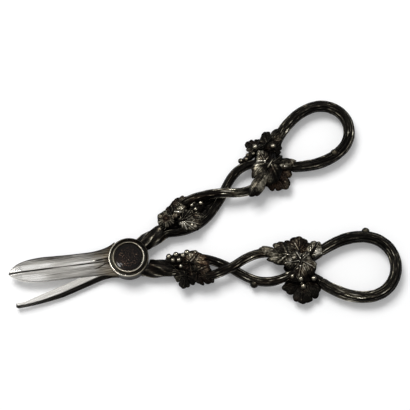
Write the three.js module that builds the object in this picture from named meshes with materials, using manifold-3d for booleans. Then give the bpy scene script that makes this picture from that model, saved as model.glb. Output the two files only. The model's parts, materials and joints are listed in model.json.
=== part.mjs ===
// Grape shears: table scissors with cast vine handles, a broad cutting blade and a slim holding blade.
// Millimetres, +Z up. The origin is on the pivot axis, on the flat rear face that the shears lie on.
// Each arm is drawn as if the shears were closed, blade along -X and bow along +X, then turned open.
import * as THREE from 'three';
import { mergeVertices } from 'three/addons/utils/BufferGeometryUtils.js';
import Module from 'manifold-3d';

const wasm = await Module();
wasm.setup();

// How the shears lie
const OPENING = 17; // degrees between the arms

// Clearances
const FIT = 0.3; // between pieces that are soldered together
const SEAT = 0.45; // round a leaf that another piece is fitted to
const RIDE_GAP = 0.2; // between faces that slide on each other
const RIVET_PLAY = 0.2; // round the rivet

// Pivot
const RIVET_RADIUS = 2;
const RIVET_TAIL_RADIUS = 3.4;
const RIVET_TAIL_HEIGHT = 1.2;
const REAR_BOSS_RADIUS = 8.4;
const REAR_BOSS_HEIGHT = 2.3;
const EYE_RADIUS = 8.7;
const EYE_THICKNESS = 2.4;
const BOSS_RADIUS = 8.9;
const BOSS_FLOOR = 0.6; // plate under the medallion, and depth of the rivet's countersunk head
const BOSS_RIM_HEIGHT = 1.1;
const BOSS_BEAD_HEIGHT = 1.7;
const BOSS_BEAD_WIDTH = 1.1;
const BOSS_ROUND = 0.35; // rounding of the rim and the bead
const MEDALLION_RADIUS = 6;
const MEDALLION_EDGE = 0.75; // thickness at its rim
const MEDALLION_DISH = 0.4; // depth of the hollow
const MEDALLION_RELIEF = 0.15;
const MEDALLION_PETALS = 6;

// Blades
const BROAD_LENGTH = 53.6;
const BROAD_BACK = 6; // widest, on the back edge
const BROAD_BACK_WAIST = 5.5;
const BROAD_EDGE = 5.4; // on the cutting edge
const BROAD_SPUR = 10.4; // from the pivot to the corner of the back edge
const BROAD_RIDGE = 2; // thickness at the ridge
const BROAD_EDGE_THICKNESS = 0.5;
const GROOVE_WIDTH = 0.9;
const GROOVE_DEPTH = 0.45;
const SLIM_LENGTH = 53.8;
const SLIM_TIP_RISE = 2.3;
const SLIM_INNER = 1.3;
const SLIM_OUTER = 3.2;
const SLIM_TIP_WIDTH = 2.1;
const SLIM_BEVEL = 0.55; // share of the outer half that slopes away
const TANG_WIDTH = 2.6;
const TANG_THICKNESS = 1.2;
const TANG_DEPTH = 5.6; // in the shank

// Vine stems
const STEM_ROOT_RADIUS = 1.65; // where a stem leaves the shank
const STEM_RADIUS = 1.95;
const STEM_THROAT_RADIUS = 1.7; // under the leaves at the throat
const BOW_RADIUS = 2.4;
const BARK_FLUTES = 4;
const BARK_DEPTH = 0.06; // of the radius
const SHANK_THICKNESS = 5.6;
const BUD_RADIUS = 1.6;
const BOW_START = 50; // degrees round the bow where it joins the stems
const STEM_END_GAP = 0.5; // degrees round the bow
const EGG = 0.75; // how pointed the bow is at the throat

// Leaves and grapes
const LEAF_THICKNESS = 1.2;
const LEAF_LEAN = 0.2; // share of a leaf's reach that leans to its tip
const LEAF_LOBES = 5;
const LEAF_NOTCH = 0.3; // share of a leaf's reach that is cut away between two lobes
const ROSETTE_PETALS = 6;
const ROSETTE_SCALLOP = 0.12; // share of the radius
const ROSETTE_RELIEF = 0.25;
const GRAPE_RADIUS = 1.35;

// Mesh fineness
const STEM_SIDES = 8;
const LEAF_SPOKES = 4 * LEAF_LOBES; // one on each lobe and on each notch
const LEAF_RINGS = 4;
const ROUND_SEGMENTS = 28;

// The two handles. Along is measured from the pivot on the handle's own axis.
const UPPER = {
  side: 1,
  axisTurn: 9,
  axisRise: 2.6,
  shankWidth: 7.2,
  split: 18.5,
  crossing: 51,
  throat: 77,
  firstLens: 5.7,
  secondLens: 5.5,
  bowLength: 41.5,
  bowHalfWidth: 12.9,
};
const LOWER = {
  side: -1,
  axisTurn: 7,
  axisRise: 4.2,
  shankWidth: 8,
  split: 18.5,
  crossing: 45.5,
  throat: 77,
  firstLens: 4.6,
  secondLens: 6.6,
  bowLength: 41,
  bowHalfWidth: 13.9,
};

// Heights of the stack at the pivot
const SLIM_BOTTOM = REAR_BOSS_HEIGHT + RIDE_GAP;
const SLIM_TOP = SLIM_BOTTOM + EYE_THICKNESS;
const BROAD_BOTTOM = SLIM_TOP + RIDE_GAP;
const BROAD_TOP = BROAD_BOTTOM + EYE_THICKNESS;
const BOSS_BOTTOM = BROAD_TOP + FIT;
const BOSS_PLATE_TOP = BOSS_BOTTOM + BOSS_FLOOR;
const MIDDLE = SLIM_TOP + RIDE_GAP / 2;
const HUB_RADIUS = Math.max(EYE_RADIUS, BOSS_RADIUS) + FIT; // where the shanks start

// Sizes and heights on the handles that follow from the others
const JOIN_RADIUS = (STEM_RADIUS + BOW_RADIUS) / 2; // where a stem meets the bow
const STEM_TOP = MIDDLE + STEM_RADIUS;
const THROAT_TOP = MIDDLE + 3 * STEM_THROAT_RADIUS; // over two crossing stems
const REAR_LEAF_HEIGHT = LEAF_THICKNESS / 2;

// Finishes
function silver(color, roughness) {
  return new THREE.MeshStandardMaterial({ color, roughness, metalness: 1 });
}
const FINISH = {
  blade: () => silver(0xc9c6bf, 0.25),
  stem: () => silver(0x2b2823, 0.45),
  leaf: () => silver(0x4a463b, 0.5),
  grape: () => silver(0x6d6a62, 0.35),
  boss: () => silver(0x77746a, 0.35),
  medallion: () => silver(0x2a211c, 0.5),
};

// Solids from three.js geometry
function bare(geometry) {
  geometry.deleteAttribute('normal');
  geometry.deleteAttribute('uv');
  return mergeVertices(geometry);
}

function shaped(geometry, place) {
  const merged = bare(geometry);
  const positions = merged.attributes.position;
  const point = new THREE.Vector3();
  for (let i = 0; i < positions.count; i += 1) {
    point.fromBufferAttribute(positions, i);
    place(point);
    positions.setXYZ(i, point.x, point.y, point.z);
  }
  return merged;
}

// Six times the volume inside a mesh, negative where its faces point inwards
function sixVolumes(corners, faces) {
  const [a, b, c] = [new THREE.Vector3(), new THREE.Vector3(), new THREE.Vector3()];
  let sum = 0;
  for (let i = 0; i < faces.length; i += 3) {
    a.fromArray(corners, 3 * faces[i]);
    b.fromArray(corners, 3 * faces[i + 1]);
    c.fromArray(corners, 3 * faces[i + 2]);
    sum += a.dot(b.cross(c));
  }
  return sum;
}

// A mirrored or bent shape can come out inside out, so its faces are turned to point outwards
function solid(geometry) {
  const merged = bare(geometry);
  const corners = new Float32Array(merged.attributes.position.array);
  const faces = new Uint32Array(merged.index.array);
  if (sixVolumes(corners, faces) < 0) {
    faces.reverse();
  }
  return new wasm.Manifold(new wasm.Mesh({ numProp: 3, vertProperties: corners, triVerts: faces }));
}

function piece(name, body, finish) {
  const cut = body.getMesh();
  const geometry = new THREE.BufferGeometry();
  geometry.setAttribute('position', new THREE.BufferAttribute(cut.vertProperties, 3));
  geometry.setIndex(new THREE.BufferAttribute(cut.triVerts, 1));
  const mesh = new THREE.Mesh(geometry, finish());
  mesh.name = name;
  return mesh;
}

function turned(profile) {
  const points = profile.map(([radius, height]) => new THREE.Vector2(radius, height));
  const lathe = new THREE.LatheGeometry(points, ROUND_SEGMENTS);
  return solid(lathe.rotateX(Math.PI / 2));
}

function drum(radius, bottom, top) {
  return turned([[0, bottom], [radius, bottom], [radius, top], [0, top]]);
}

function slab(outline, bottom, top) {
  const settings = { depth: top - bottom, bevelEnabled: false, curveSegments: 10 };
  return new THREE.ExtrudeGeometry(outline, settings).translate(0, 0, bottom);
}

// Pivot pieces
// The rivet is countersunk at both ends, flush with the rear boss and with the plate of the front boss
function pivotRivet() {
  const head = RIVET_RADIUS + BOSS_FLOOR;
  return turned([
    [0, 0], [RIVET_TAIL_RADIUS, 0], [RIVET_RADIUS, RIVET_TAIL_HEIGHT], [RIVET_RADIUS, BOSS_BOTTOM],
    [head, BOSS_PLATE_TOP], [0, BOSS_PLATE_TOP],
  ]);
}

function rearBoss() {
  const bore = RIVET_RADIUS + RIVET_PLAY;
  const sink = RIVET_TAIL_RADIUS + RIVET_PLAY;
  const round = REAR_BOSS_HEIGHT / 3;
  return turned([
    [sink, 0], [REAR_BOSS_RADIUS - 2 * round, 0], [REAR_BOSS_RADIUS - round / 2, round],
    [REAR_BOSS_RADIUS, 2 * round], [REAR_BOSS_RADIUS, REAR_BOSS_HEIGHT], [bore, REAR_BOSS_HEIGHT],
    [bore, RIVET_TAIL_HEIGHT + RIVET_PLAY], [sink, 0],
  ]);
}

// A turned cup: an outer rim, a groove and an inner bead round the seat of the medallion
function frontBoss() {
  const bore = RIVET_RADIUS + RIVET_PLAY;
  const rim = BOSS_BOTTOM + BOSS_RIM_HEIGHT;
  const bead = BOSS_BOTTOM + BOSS_BEAD_HEIGHT;
  const inner = MEDALLION_RADIUS + FIT;
  const outer = inner + BOSS_BEAD_WIDTH;
  const groove = (outer + BOSS_RADIUS) / 2;
  return turned([
    [bore, BOSS_BOTTOM], [BOSS_RADIUS - BOSS_ROUND, BOSS_BOTTOM],
    [BOSS_RADIUS, BOSS_BOTTOM + BOSS_RIM_HEIGHT / 2], [BOSS_RADIUS - BOSS_ROUND, rim],
    [groove, rim - BOSS_ROUND], [outer, rim - BOSS_ROUND / 2],
    [outer - BOSS_ROUND, bead], [inner + BOSS_ROUND / 2, bead], [inner, bead - BOSS_ROUND],
    [inner, BOSS_PLATE_TOP], [bore + BOSS_FLOOR, BOSS_PLATE_TOP], [bore, BOSS_BOTTOM],
  ]);
}

// The dished disc over the rivet's head, with a low flower round a button
function medallion() {
  const bottom = BOSS_PLATE_TOP + FIT;
  const edge = bottom + MEDALLION_EDGE;
  const dish = edge - MEDALLION_DISH;
  const hollow = [[1, 0], [0.82, 0.7], [0.6, 1], [0.36, 1], [0.22, 0.7]];
  const profile = hollow.map(([share, depth]) => [share * MEDALLION_RADIUS, edge - depth * MEDALLION_DISH]);
  const points = [[0, bottom], [MEDALLION_RADIUS, bottom], ...profile, [0, (edge + dish) / 2]];
  const outline = points.map(([radius, height]) => new THREE.Vector2(radius, height));
  const disc = new THREE.LatheGeometry(outline, ROUND_SEGMENTS).rotateX(Math.PI / 2);
  return solid(shaped(disc, (point) => {
    const share = Math.hypot(point.x, point.y) / MEDALLION_RADIUS;
    const petal = Math.cos(MEDALLION_PETALS * Math.atan2(point.y, point.x));
    const carved = point.z > bottom && share > 0.3 && share < 0.9;
    point.z += carved ? petal * MEDALLION_RELIEF : 0;
  }));
}

// Blades
function rivetHole() {
  return drum(RIVET_RADIUS + RIVET_PLAY, 0, BOSS_PLATE_TOP);
}

// Roof section of the broad blade, with a groove along the ridge, swept along the blade
function bladeRoof() {
  const reach = BROAD_LENGTH + EYE_RADIUS;
  const ridge = BROAD_BOTTOM + BROAD_RIDGE;
  const half = GROOVE_WIDTH / 2;
  const wide = BROAD_SPUR + 1;
  const edge = BROAD_BOTTOM + BROAD_EDGE_THICKNESS;
  const section = new THREE.Shape();
  section.moveTo(-wide, BROAD_BOTTOM);
  section.lineTo(wide, BROAD_BOTTOM);
  section.lineTo(wide, edge);
  section.lineTo(BROAD_BACK, edge);
  section.lineTo(half, ridge);
  section.lineTo(0, ridge - GROOVE_DEPTH);
  section.lineTo(-half, ridge);
  section.lineTo(-BROAD_BACK, edge);
  section.lineTo(-wide, edge);
  const sweep = new THREE.ExtrudeGeometry(section, { depth: reach, bevelEnabled: false });
  return solid(shaped(sweep, (point) => point.set(point.z - reach, point.x, point.y)));
}

function broadOutline() {
  const corner = THREE.MathUtils.degToRad(122);
  const waist = -BROAD_LENGTH * 0.35;
  const belly = -BROAD_LENGTH * 0.7;
  const outline = new THREE.Shape();
  outline.moveTo(BROAD_SPUR * Math.cos(corner), BROAD_SPUR * Math.sin(corner));
  outline.quadraticCurveTo(-EYE_RADIUS * 1.15, BROAD_BACK_WAIST, waist, BROAD_BACK_WAIST);
  outline.quadraticCurveTo(-BROAD_LENGTH * 0.5, BROAD_BACK_WAIST, belly, BROAD_BACK);
  outline.quadraticCurveTo(-BROAD_LENGTH * 0.96, BROAD_BACK, -BROAD_LENGTH, 0);
  outline.quadraticCurveTo(-BROAD_LENGTH * 0.93, -BROAD_EDGE, belly, -BROAD_EDGE);
  outline.lineTo(waist, -BROAD_EDGE);
  outline.quadraticCurveTo(-EYE_RADIUS * 1.2, -BROAD_EDGE, -EYE_RADIUS * 0.4, -EYE_RADIUS * 0.9);
  return outline;
}

function tang(arm, bottom, grow) {
  const handle = axisOf(arm);
  const start = EYE_RADIUS * 0.3;
  const end = HUB_RADIUS + TANG_DEPTH + grow;
  const box = new THREE.BoxGeometry(end - start, TANG_WIDTH + 2 * grow, TANG_THICKNESS + 2 * grow);
  box.translate((start + end) / 2, 0, bottom + TANG_THICKNESS / 2);
  return solid(shaped(box, (point) => point.copy(handle(point.x, point.y, point.z))));
}

function broadBlade() {
  const blade = solid(slab(broadOutline(), BROAD_BOTTOM, BROAD_TOP)).intersect(bladeRoof());
  const eye = drum(EYE_RADIUS, BROAD_BOTTOM, BROAD_TOP);
  return blade.add(eye).add(tang(LOWER, BROAD_BOTTOM, 0)).subtract(rivetHole());
}

function slimOutline() {
  const outline = new THREE.Shape();
  outline.moveTo(0, SLIM_INNER);
  outline.lineTo(-SLIM_LENGTH * 0.92, SLIM_INNER);
  outline.quadraticCurveTo(-SLIM_LENGTH * 0.97, SLIM_INNER, -SLIM_LENGTH, SLIM_TIP_RISE);
  outline.lineTo(-SLIM_LENGTH, SLIM_TIP_RISE - SLIM_TIP_WIDTH);
  outline.quadraticCurveTo(-SLIM_LENGTH * 0.85, -SLIM_OUTER * 0.6, -SLIM_LENGTH * 0.62, -SLIM_OUTER);
  outline.lineTo(-SLIM_LENGTH * 0.3, -SLIM_OUTER);
  outline.quadraticCurveTo(-EYE_RADIUS, -SLIM_OUTER, -EYE_RADIUS * 0.45, -EYE_RADIUS * 0.85);
  outline.lineTo(0, -EYE_RADIUS * 0.5);
  return outline;
}

// The slim blade's outer wall slopes out from its flat upper face to its lower edge
function slimBlade() {
  const blade = solid(shaped(slab(slimOutline(), SLIM_BOTTOM, SLIM_TOP), (point) => {
    const outside = point.y < 0 && point.z > (SLIM_BOTTOM + SLIM_TOP) / 2;
    point.y *= outside ? 1 - SLIM_BEVEL : 1;
  }));
  const eye = drum(EYE_RADIUS, SLIM_BOTTOM, SLIM_TOP);
  const bottom = SLIM_TOP - TANG_THICKNESS;
  return blade.add(eye).add(tang(UPPER, bottom, 0)).subtract(rivetHole());
}

// Handles
// Gives the function from (along, across, height) on a handle's axis to a point of its arm
function axisOf(arm) {
  const turn = THREE.MathUtils.degToRad(arm.axisTurn);
  return (along, across, height) => new THREE.Vector3(
    along * Math.cos(turn) - across * Math.sin(turn),
    arm.side * (arm.axisRise + along * Math.sin(turn) + across * Math.cos(turn)),
    height,
  );
}

// Bends a fluted round bar along a curve, with a radius for each share of its length
function bar(curve, steps, radiusAt, grow) {
  const frames = curve.computeFrenetFrames(steps, false);
  const rod = new THREE.CylinderGeometry(1, 1, 1, STEM_SIDES, steps);
  return solid(shaped(rod, (point) => {
    const share = 0.5 - point.y;
    const step = Math.round(share * steps);
    const radius = radiusAt(share) + grow;
    const flute = 1 + BARK_DEPTH * Math.cos(BARK_FLUTES * Math.atan2(point.z, point.x));
    const spread = radius * (grow > 0 ? 1 + BARK_DEPTH : flute);
    const centre = curve.getPointAt(share);
    const across = frames.normals[step].clone().multiplyScalar(point.x * spread);
    const beside = frames.binormals[step].clone().multiplyScalar(-point.z * spread);
    point.copy(centre).add(across).add(beside);
  }));
}

// Egg-shaped centre line of the finger bow, pointed at the throat
function bowPoint(arm, degrees) {
  const turn = THREE.MathUtils.degToRad(degrees);
  const widest = 2 * ((1 + EGG) / (2 + EGG)) ** ((1 + EGG) / 2) / Math.sqrt(2 + EGG);
  const along = arm.throat + arm.bowLength * (1 - Math.cos(turn)) / 2;
  const across = arm.bowHalfWidth / widest * Math.sin(turn) * Math.sin(turn / 2) ** EGG;
  return axisOf(arm)(along, across, MIDDLE);
}

// A stem leaves the shank, bows round the first lens, crosses its twin, bows round the second lens,
// crosses back at the throat and runs into the finger bow. way is +1 for the stem that passes over.
function stemCurve(arm, way) {
  const handle = axisOf(arm);
  const lift = STEM_RADIUS * (1 + BARK_DEPTH) + FIT / 2;
  const throatLift = STEM_THROAT_RADIUS * (1 + BARK_DEPTH) + FIT;
  const rootAngle = Math.asin((STEM_ROOT_RADIUS * (1 + BARK_DEPTH) + FIT / 2) / arm.firstLens);
  const lensSteps = 6;
  const rootAcross = way * arm.firstLens * Math.sin(rootAngle);
  const lensStart = arm.split + STEM_ROOT_RADIUS;
  const points = [handle(arm.split + FIT, rootAcross, MIDDLE)];
  for (let i = 0; i < lensSteps; i += 1) {
    const share = i / lensSteps;
    const along = lensStart + share * (arm.crossing - lensStart);
    const angle = rootAngle + share * (Math.PI - rootAngle);
    const rise = lift * (1 - Math.cos(Math.PI * share)) / 2;
    points.push(handle(along, way * arm.firstLens * Math.sin(angle), MIDDLE + way * rise));
  }
  for (let i = 0; i <= lensSteps; i += 1) {
    const share = i / lensSteps;
    const along = arm.crossing + share * (arm.throat - arm.crossing);
    const height = (share < 0.5 ? lift : throatLift) * Math.cos(Math.PI * share);
    points.push(handle(along, -way * arm.secondLens * Math.sin(Math.PI * share), MIDDLE + way * height));
  }
  for (const share of [0.7, 1]) {
    const degrees = share * BOW_START - STEM_END_GAP;
    const point = bowPoint(arm, way > 0 ? degrees : 360 - degrees);
    point.z -= way * throatLift * (1 + Math.cos(Math.PI * share)) / 2;
    points.push(point);
  }
  return new THREE.CatmullRomCurve3(points, false, 'centripetal');
}

function stem(arm, way, grow = 0) {
  const radiusAt = (share) => {
    if (share < 0.2) {
      return THREE.MathUtils.mapLinear(share, 0, 0.2, STEM_ROOT_RADIUS, STEM_RADIUS);
    }
    if (share < 0.82) {
      return THREE.MathUtils.mapLinear(Math.max(share, 0.65), 0.65, 0.82, STEM_RADIUS, STEM_THROAT_RADIUS);
    }
    return THREE.MathUtils.mapLinear(Math.max(share, 0.92), 0.92, 1, STEM_THROAT_RADIUS, JOIN_RADIUS);
  };
  return bar(stemCurve(arm, way), 28, radiusAt, grow);
}

function bow(arm, grow = 0) {
  const points = [];
  const steps = 24;
  const start = BOW_START + STEM_END_GAP;
  for (let i = 0; i <= steps; i += 1) {
    points.push(bowPoint(arm, THREE.MathUtils.lerp(start, 360 - start, i / steps)));
  }
  const curve = new THREE.CatmullRomCurve3(points, false, 'centripetal');
  const radiusAt = (share) => {
    const swell = Math.min(1, 8 * Math.min(share, 1 - share));
    return THREE.MathUtils.lerp(JOIN_RADIUS, BOW_RADIUS, swell);
  };
  return bar(curve, 34, radiusAt, grow);
}

// A bud on a rod: a bead on the rod's flank
function bud(arm, degrees, outward) {
  const centre = bowPoint(arm, degrees);
  const ahead = bowPoint(arm, degrees + 1);
  const away = new THREE.Vector3(centre.y - ahead.y, ahead.x - centre.x, 0).normalize();
  const bead = new THREE.SphereGeometry(BUD_RADIUS, 8, 6);
  const at = centre.addScaledVector(away, outward * BOW_RADIUS);
  return solid(bead.translate(at.x, at.y, at.z));
}

// The cut-off twig on the outside of the lower handle's second lens
function twig(arm) {
  const share = 0.3;
  const along = arm.crossing + share * (arm.throat - arm.crossing);
  const across = arm.secondLens * Math.sin(Math.PI * share) + STEM_RADIUS;
  const at = axisOf(arm)(along, across, MIDDLE - STEM_RADIUS * Math.cos(Math.PI * share));
  return solid(new THREE.SphereGeometry(BUD_RADIUS, 8, 6).translate(at.x, at.y, at.z));
}

// The cast shank between the pivot and the fork of the stems, with a socket for the tang
function shankBar(arm, grow) {
  const handle = axisOf(arm);
  const start = HUB_RADIUS * 0.55;
  const curve = new THREE.LineCurve3(handle(start, 0, MIDDLE), handle(arm.split, 0, MIDDLE));
  const forkWidth = 4 * STEM_ROOT_RADIUS + FIT;
  const neck = (share) => Math.min(1, 0.8 + 0.5 * share);
  const widthAt = (share) => neck(share) * THREE.MathUtils.lerp(arm.shankWidth, forkWidth, share ** 2) / 2;
  const heightAt = (share) => THREE.MathUtils.lerp(SHANK_THICKNESS, 2.2 * STEM_ROOT_RADIUS, share ** 2) / 2;
  const rod = new THREE.CylinderGeometry(1, 1, 1, 16, 6);
  const direction = curve.getTangent(0);
  const across = new THREE.Vector3(-direction.y, direction.x, 0);
  const body = solid(shaped(rod, (point) => {
    const share = 0.5 + point.y;
    const flute = 1 + BARK_DEPTH * Math.cos(BARK_FLUTES * Math.atan2(point.z, point.x));
    const centre = curve.getPoint(share);
    const rise = point.z * (heightAt(share) * flute + grow);
    const aside = -point.x * (widthAt(share) * flute + grow);
    point.copy(centre).addScaledVector(across, aside);
    point.z = MIDDLE + rise;
  }));
  return body.subtract(drum(HUB_RADIUS, 0, 4 * MIDDLE));
}

function shank(arm, tangBottom) {
  return shankBar(arm, 0).subtract(tang(arm, tangBottom, FIT));
}

// Leaves
// A cast leaf: a thick lens drawn out to lobes, folded along each lobe's vein and drooping at its edge
function leaf(arm, place, grow = 0) {
  const handle = axisOf(arm);
  const blank = new THREE.SphereGeometry(1, LEAF_SPOKES, LEAF_RINGS).rotateX(Math.PI / 2);
  const heading = THREE.MathUtils.degToRad(place.heading);
  return solid(shaped(blank, (point) => {
    const angle = Math.atan2(point.y, point.x);
    const out = Math.hypot(point.x, point.y);
    const lobes = Math.cos(LEAF_LOBES * angle);
    const cut = 1 - Math.sqrt(Math.abs(Math.cos(LEAF_LOBES / 2 * angle)));
    const lean = (place.lean ?? LEAF_LEAN) * (Math.cos(angle) - 1);
    const reach = 1 + lean - (place.notch ?? LEAF_NOTCH) * cut;
    const spread = out * (1 + grow / (reach * Math.min(place.length, place.width)));
    const ahead = Math.cos(angle) * spread * reach * place.length;
    const aside = Math.sin(angle) * spread * reach * place.width;
    const body = Math.sign(point.z) * Math.sqrt(Math.max(0, 1 - out ** 4)) * (LEAF_THICKNESS / 2 + grow);
    const along = place.along + ahead * Math.cos(heading) - aside * Math.sin(heading);
    const across = place.across + ahead * Math.sin(heading) + aside * Math.cos(heading);
    const fold = place.fold * lobes * spread;
    const droop = place.droop * spread ** 2;
    point.copy(handle(along, across, place.height + body + fold - droop));
  }));
}

// A petalled rosette, domed like a button
function rosette(arm, place, grow = 0) {
  const handle = axisOf(arm);
  const blank = new THREE.SphereGeometry(1, 4 * ROSETTE_PETALS, 6).rotateX(Math.PI / 2);
  return solid(shaped(blank, (point) => {
    const petal = Math.cos(ROSETTE_PETALS * Math.atan2(point.y, point.x));
    const out = Math.hypot(point.x, point.y);
    const radius = place.radius * (1 + ROSETTE_SCALLOP * (petal - 1)) + grow;
    const height = place.height + point.z * (place.thick / 2 + grow) + ROSETTE_RELIEF * petal * out;
    point.copy(handle(place.along + point.x * radius, place.across + point.y * radius, height));
  }));
}

function grape(arm, along, across, height, size, grow) {
  const at = axisOf(arm)(along, across, height);
  return solid(new THREE.SphereGeometry(GRAPE_RADIUS * size + grow, 6, 4).translate(at.x, at.y, at.z));
}

// A bunch of grapes on a low cushion of stalks
function grapes(arm, core, berries, grow = 0) {
  const handle = axisOf(arm);
  const cushion = new THREE.SphereGeometry(1, 8, 4);
  let bunch = solid(shaped(cushion, (point) => {
    const heading = THREE.MathUtils.degToRad(core.heading);
    const ahead = point.x * (core.length / 2 + grow);
    const aside = point.y * (core.width / 2 + grow);
    const along = core.along + ahead * Math.cos(heading) - aside * Math.sin(heading);
    const across = core.across + ahead * Math.sin(heading) + aside * Math.cos(heading);
    point.copy(handle(along, across, core.height + point.z * (core.thick / 2 + grow)));
  }));
  for (const [along, across, rise, size] of berries) {
    bunch = bunch.add(grape(arm, core.along + along, core.across + across, core.height + rise, size, grow));
  }
  return bunch;
}

// Keeps the main body of a piece that a seat was cut into, without the crumbs that the cut leaves
function mainBody(body) {
  const parts = body.decompose();
  return parts.reduce((most, part) => (part.volume() > most.volume() ? part : most));
}

// Seats ornaments one after another on the stems and on each other.
// Each entry has a name, a finish and a make function that takes a clearance.
function seated(carrier, ornaments) {
  let taken = carrier;
  return ornaments.map(({ name, finish, make }) => {
    const body = mainBody(make(0).subtract(taken));
    taken = taken.add(make(SEAT));
    return piece(name, body, finish);
  });
}

function leafEntry(arm, name, place) {
  return { name, finish: FINISH.leaf, make: (grow) => leaf(arm, place, grow) };
}

// A leaf with one grape resting on it
function fruitEntry(arm, name, place, ahead, aside, size) {
  const fruit = (grow) => grape(arm, place.along + ahead, place.across + aside, place.height + 1, size, grow);
  return { name, finish: FINISH.leaf, make: (grow) => leaf(arm, place, grow).add(fruit(grow)) };
}

// Ornaments sit along from the fork, where the first lens starts, or from the throat, where the bow starts
function upperOrnaments() {
  const arm = UPPER;
  const fork = arm.split;
  const throat = arm.throat;
  const lensBerries = [
    [2, 0, 1.3, 0.95], [-1.9, 1.4, 1.2, 0.8], [-1.5, -1.1, 1.2, 0.8], [-0.4, 2.1, 1.2, 0.8],
  ];
  const throatBerries = [
    [-5, 0.3, 0.4, 0.95], [-2.6, -0.6, 0.8, 0.9], [-0.8, 0.8, 0.4, 0.8], [1.6, -0.2, 0.9, 0.85],
  ];
  return [
    leafEntry(arm, 'upper_lens_back_leaf', {
      along: fork + 15.5, across: 0, height: MIDDLE - 1.6,
      heading: 0, length: 15, width: 6, fold: 0.2, droop: 0, lean: 0, notch: 0,
    }),
    leafEntry(arm, 'upper_throat_back_leaf', {
      along: throat, across: 0, height: REAR_LEAF_HEIGHT,
      heading: 180, length: 11.5, width: 11, fold: 0.2, droop: -1.3,
    }),
    {
      name: 'upper_rosette',
      finish: FINISH.leaf,
      make: (grow) => rosette(arm, {
        along: fork + 4.8, across: 3.6, height: STEM_TOP, radius: 3.8, thick: 3,
      }, grow),
    },
    leafEntry(arm, 'upper_narrow_leaf', {
      along: fork + 9.2, across: 4.7, height: STEM_TOP + 0.6,
      heading: 16, length: 9.4, width: 3.6, fold: 0.2, droop: 0.6,
    }),
    leafEntry(arm, 'upper_fan_leaf', {
      along: fork + 10.4, across: -1.2, height: STEM_TOP + 0.4,
      heading: -22, length: 9.4, width: 8, fold: 0.3, droop: 0.8, lean: 0.4, notch: 0.12,
    }),
    {
      name: 'upper_lens_grapes',
      finish: FINISH.grape,
      make: (grow) => grapes(arm, {
        along: fork + 20, across: 1.5, height: MIDDLE - 0.2,
        heading: 0, length: 9, width: 6, thick: 3,
      }, lensBerries, grow),
    },
    leafEntry(arm, 'upper_throat_leaf', {
      along: throat - 0.8, across: -1.6, height: THROAT_TOP + 0.6,
      heading: 205, length: 17, width: 9, fold: 0.5, droop: 2.2, lean: 0.3, notch: 0.2,
    }),
    leafEntry(arm, 'upper_lobe_leaf', {
      along: throat + 2.4, across: -2.6, height: STEM_TOP + 1.6,
      heading: -24, length: 7.4, width: 5.6, fold: 0.3, droop: 0.8, notch: 0.15,
    }),
    leafEntry(arm, 'upper_inner_leaf', {
      along: throat - 0.6, across: -4, height: MIDDLE + 1,
      heading: -88, length: 10, width: 8.4, fold: 0.4, droop: 0.9,
    }),
    leafEntry(arm, 'upper_bow_leaf', {
      along: throat + 4, across: 8.2, height: STEM_TOP + 0.7,
      heading: 18, length: 11, width: 5.6, fold: 0.4, droop: 0.7,
    }),
    fruitEntry(arm, 'upper_berry_leaf', {
      along: throat - 0.6, across: 9.6, height: MIDDLE + 0.8,
      heading: 110, length: 5.4, width: 5.4, fold: 0.3, droop: 0.5, notch: 0.16,
    }, -0.6, 0.4, 1.1),
    {
      name: 'upper_throat_grapes',
      finish: FINISH.grape,
      make: (grow) => grapes(arm, {
        along: throat - 5.2, across: 8, height: MIDDLE + 0.6,
        heading: 9, length: 13, width: 3.4, thick: 2.4,
      }, throatBerries, grow),
    },
    fruitEntry(arm, 'upper_round_leaf', {
      along: throat + 4, across: 4.6, height: STEM_TOP + 1.2,
      heading: 0, length: 5.4, width: 5.4, fold: 0.3, droop: 0.6, notch: 0.16,
    }, 1.2, 0.6, 0.95),
  ];
}

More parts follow.
